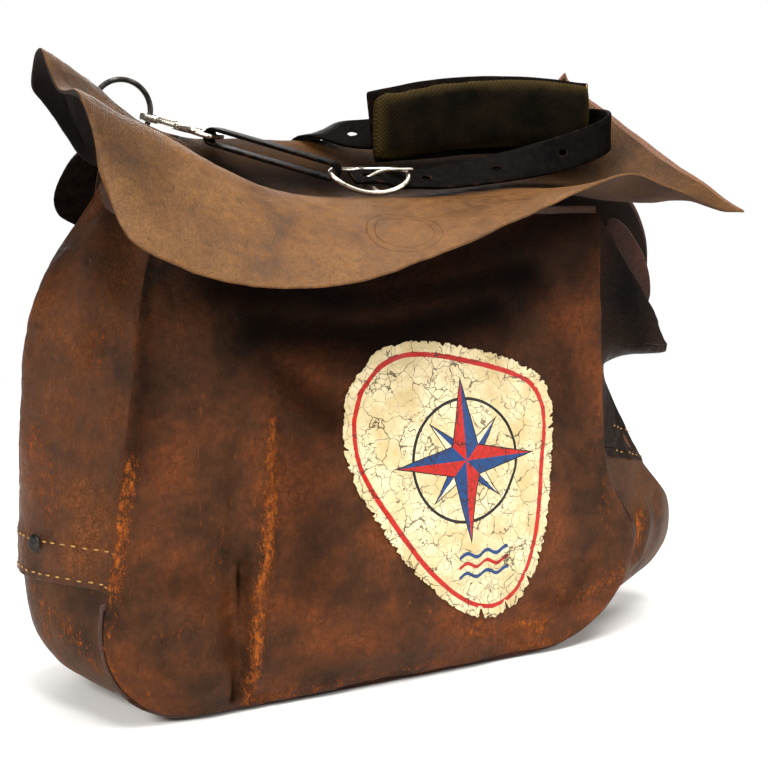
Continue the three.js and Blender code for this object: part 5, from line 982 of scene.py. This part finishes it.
def plumpPad(look):
    piece = fromNode("shoulder_pad", "shoulder_pad_canvas")
    co = coords(piece)
    middle = (co.max(0) + co.min(0)) / 2
    co = middle + (co - middle) * look["shrink"]
    setCoords(piece, co)
    voxels = piece.modifiers.new("voxels", "REMESH")
    voxels.mode = "VOXEL"
    voxels.voxel_size = look["voxel"]
    bpy.ops.object.modifier_apply(modifier="voxels")
    still = coords(piece)
    cloth = piece.modifiers.new("cloth", "CLOTH")
    cloth.settings.use_pressure = True
    cloth.settings.uniform_pressure_force = look["pressure"]
    cloth.settings.effector_weights.gravity = 0
    cloth.settings.quality = 5
    scene = bpy.context.scene
    for step in range(look["frames"]):
        scene.frame_set(step + 1)
    shape = piece.evaluated_get(bpy.context.evaluated_depsgraph_get()).to_mesh()
    flat = np.empty(len(shape.vertices) * 3)
    shape.vertices.foreach_get("co", flat)
    piece.modifiers.remove(cloth)
    scene.frame_set(1)
    move = flat.reshape(-1, 3) - still
    far = np.linalg.norm(move, axis=1)
    move *= np.minimum(1, look["cap"] / np.maximum(far, 1e-9))[:, None]
    setCoords(piece, still + move)
    skin = piece.modifiers.new("skin", "SUBSURF")
    skin.levels = skin.render_levels = 1
    bpy.ops.object.modifier_apply(modifier="skin")
    bpy.ops.object.shade_smooth()
    piece.data.materials.clear()
    piece.data.materials.append(waxedCanvas(look))
    co = coords(piece)
    low, high = co.min(0), co.max(0)
    slices = np.linspace(low[0], high[0], 24)
    heights = [co[np.abs(co[:, 0] - x) < look["rubWidth"]][:, 2] for x in slices]
    top = np.interp(co[:, 0], slices, [column.max() for column in heights])
    foot = np.interp(co[:, 0], slices, [column.min() for column in heights])
    near = np.minimum(np.minimum(top - co[:, 2], co[:, 2] - foot), np.minimum(co[:, 0] - low[0], high[0] - co[:, 0]))
    writeShade(piece, "edge", np.exp(-near / look["rubWidth"]))
    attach(piece, "bag")
    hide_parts("shoulder_pad")
    shown["shoulder_pad"] = piece
    return piece


pad = plumpPad(padding)
print("pad done:", len(pad.data.polygons))


# a stitch's size and spacing in metres, and how far its rows lie above the hems' and the flap seam's edges
thread = {"length": 0.0046, "radius": 0.00065, "pitch": 0.0066, "gold": "#b98b42", "goldDark": "#7a5526",
          "hemLow": 0.0045, "hemHigh": 0.0265, "seam": 0.0035}


# Waxed linen thread, laid in plies: gold with darker twist, slightly shiny
def linenThread(look):
    material, tree, shader = newMaterial("waxedLinenThread")
    place = addNode(tree, "TexCoord").outputs["Object"]
    ply = addNode(tree, "TexNoise", {"Vector": place, "Scale": 1 / 0.0011, "Detail": 3, "Roughness": 0.6})
    tone = addNode(tree, "ValToRGB", {"Fac": ply.outputs["Fac"]},
                   stops=[(0.35, look["goldDark"]), (0.62, look["gold"])])
    bump = addNode(tree, "Bump", {"Height": ply.outputs["Fac"], "Strength": 0.4, "Distance": 0.0003})
    wire(tree, shader, {"Base Color": tone, "Roughness": 0.6, "Normal": bump})
    return material


linen = linenThread(thread)
darkLinen = linenThread(dict(thread, gold="#4a3a28", goldDark="#241a12"))

bpy.ops.object.select_all(action="DESELECT")
bpy.ops.mesh.primitive_uv_sphere_add(segments=8, ring_count=5, radius=1)
stitchMould = bpy.context.object
stitchMould.scale = (thread["length"] / 2, thread["radius"], thread["radius"])
bpy.ops.object.transform_apply(location=False, rotation=False, scale=True)
stitchMesh = stitchMould.data.copy()
bpy.data.objects.remove(stitchMould)


def resample(points, pitch):
    points = [Vector(p) for p in points]
    made, carry = [points[0]], 0.0
    for a, b in zip(points[:-1], points[1:]):
        length = (b - a).length
        at = pitch - carry
        while at <= length:
            made.append(a.lerp(b, at / length))
            at += pitch
        carry = (carry + length) % pitch
    return made


# path in metres near the piece's surface; look is the way the rays run
def sewRow(name, target, path, look, material):
    tree = BVHTree.FromObject(shown[target], bpy.context.evaluated_depsgraph_get())
    look = Vector(look).normalized()
    hits = []
    for point in resample(path, thread["pitch"]):
        hit, normal, _, _ = tree.ray_cast(point - look * 0.05, look, 0.12)
        hits.append((hit, normal) if hit else None)
    bpy.ops.object.select_all(action="DESELECT")
    copies = []
    for i, found in enumerate(hits):
        if not found:
            continue
        hit, normal = found
        other = hits[i + 1] if i + 1 < len(hits) and hits[i + 1] else (hits[i - 1] if i and hits[i - 1] else None)
        if not other or (other[0] - hit).length > thread["pitch"] * 2.5:
            continue
        along = (other[0] - hit).normalized()
        across = normal.cross(along).normalized()
        matrix = Matrix((along, across, normal)).transposed().to_4x4()
        matrix.translation = hit + normal * thread["radius"] * 0.35
        stitch = bpy.data.objects.new(name, stitchMesh.copy())
        stitch.data.transform(matrix)
        bpy.context.collection.objects.link(stitch)
        stitch.select_set(True)
        copies.append(stitch)
    bpy.context.view_layer.objects.active = copies[0]
    bpy.ops.object.join()
    row = bpy.context.object
    row.name = name
    bpy.ops.object.shade_smooth()
    row.data.materials.append(material)
    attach(row, "bag")


# where a piece's lower edge lies, seen along look: for each value of one axis the lowest height that is hit
def lowerEdge(target, look, axis, values, low, high, other):
    tree = BVHTree.FromObject(shown[target], bpy.context.evaluated_depsgraph_get())
    look = Vector(look)
    edge = []
    for value in values:
        level = low
        while level < high:
            start = Vector((value, other, level)) if axis == "x" else Vector((other, value, level))
            if tree.ray_cast(start - look * 0.05, look, 0.14)[0]:
                edge.append(start)
                break
            level += 0.0007
    return edge


leftHem = lowerEdge("left_gusset", (1, 0, 0), "y", np.linspace(-0.045, 0.084, 28), 0.06, 0.2, -0.27)
rightHem = lowerEdge("right_gusset", (-1, 0, 0), "y", np.linspace(-0.04, 0.084, 26), 0.09, 0.24, 0.25)
backSeam = lowerEdge("flap", (0, -1, 0), "x", np.linspace(-0.17, 0.185, 40), 0.33, 0.42, 0.1)


# a stitched loop round each chape, measured from its ring: share along the leather and off its middle, in millimetres
def chapeLoop(ringCentre, side):
    along, across = Vector((side * 0.511, 0, -0.859)), Vector((0.859, 0, side * 0.511))
    marks = [(40, 6), (50, 10), (60, 14), (72, 15), (82, 10), (86, 0), (82, -10), (72, -15), (60, -14), (50, -10),
             (40, -6)]
    return [Vector(ringCentre) + (along * s + across * w) * 0.001 for s, w in marks]


padEnd = [Vector((0.1978, 0.04, 0.378)), Vector((0.1978, 0.04, 0.434))]
fromBack, fromFront = (0, -1, 0), (0, 1, 0)
rows = {
    "left_chape_stitches": ("left_chape", chapeLoop((-0.1701, 0.1025, 0.41), -1), fromBack, darkLinen),
    "right_chape_stitches": ("right_chape", chapeLoop((0.1593, 0.1025, 0.3818), 1), fromBack, darkLinen),
    "pad_end_stitches": ("shoulder_pad_backing", padEnd, fromFront, linen),
}
for side, hem, way in (("left", leftHem, rightWay), ("right", rightHem, leftWay)):
    for level in ("low", "high"):
        path = [p + Vector((0, 0, thread["hem" + level.title()])) for p in hem]
        rows[side + "_hem_stitches_" + level] = (side + "_gusset", path, way, linen)
rows["flap_seam_stitches"] = ("flap", [p + Vector((0, 0, thread["seam"])) for p in backSeam], fromBack, darkLinen)
for name, (target, path, look, material) in rows.items():
    sewRow(name, target, path, look, material)
print("stitches sewn")
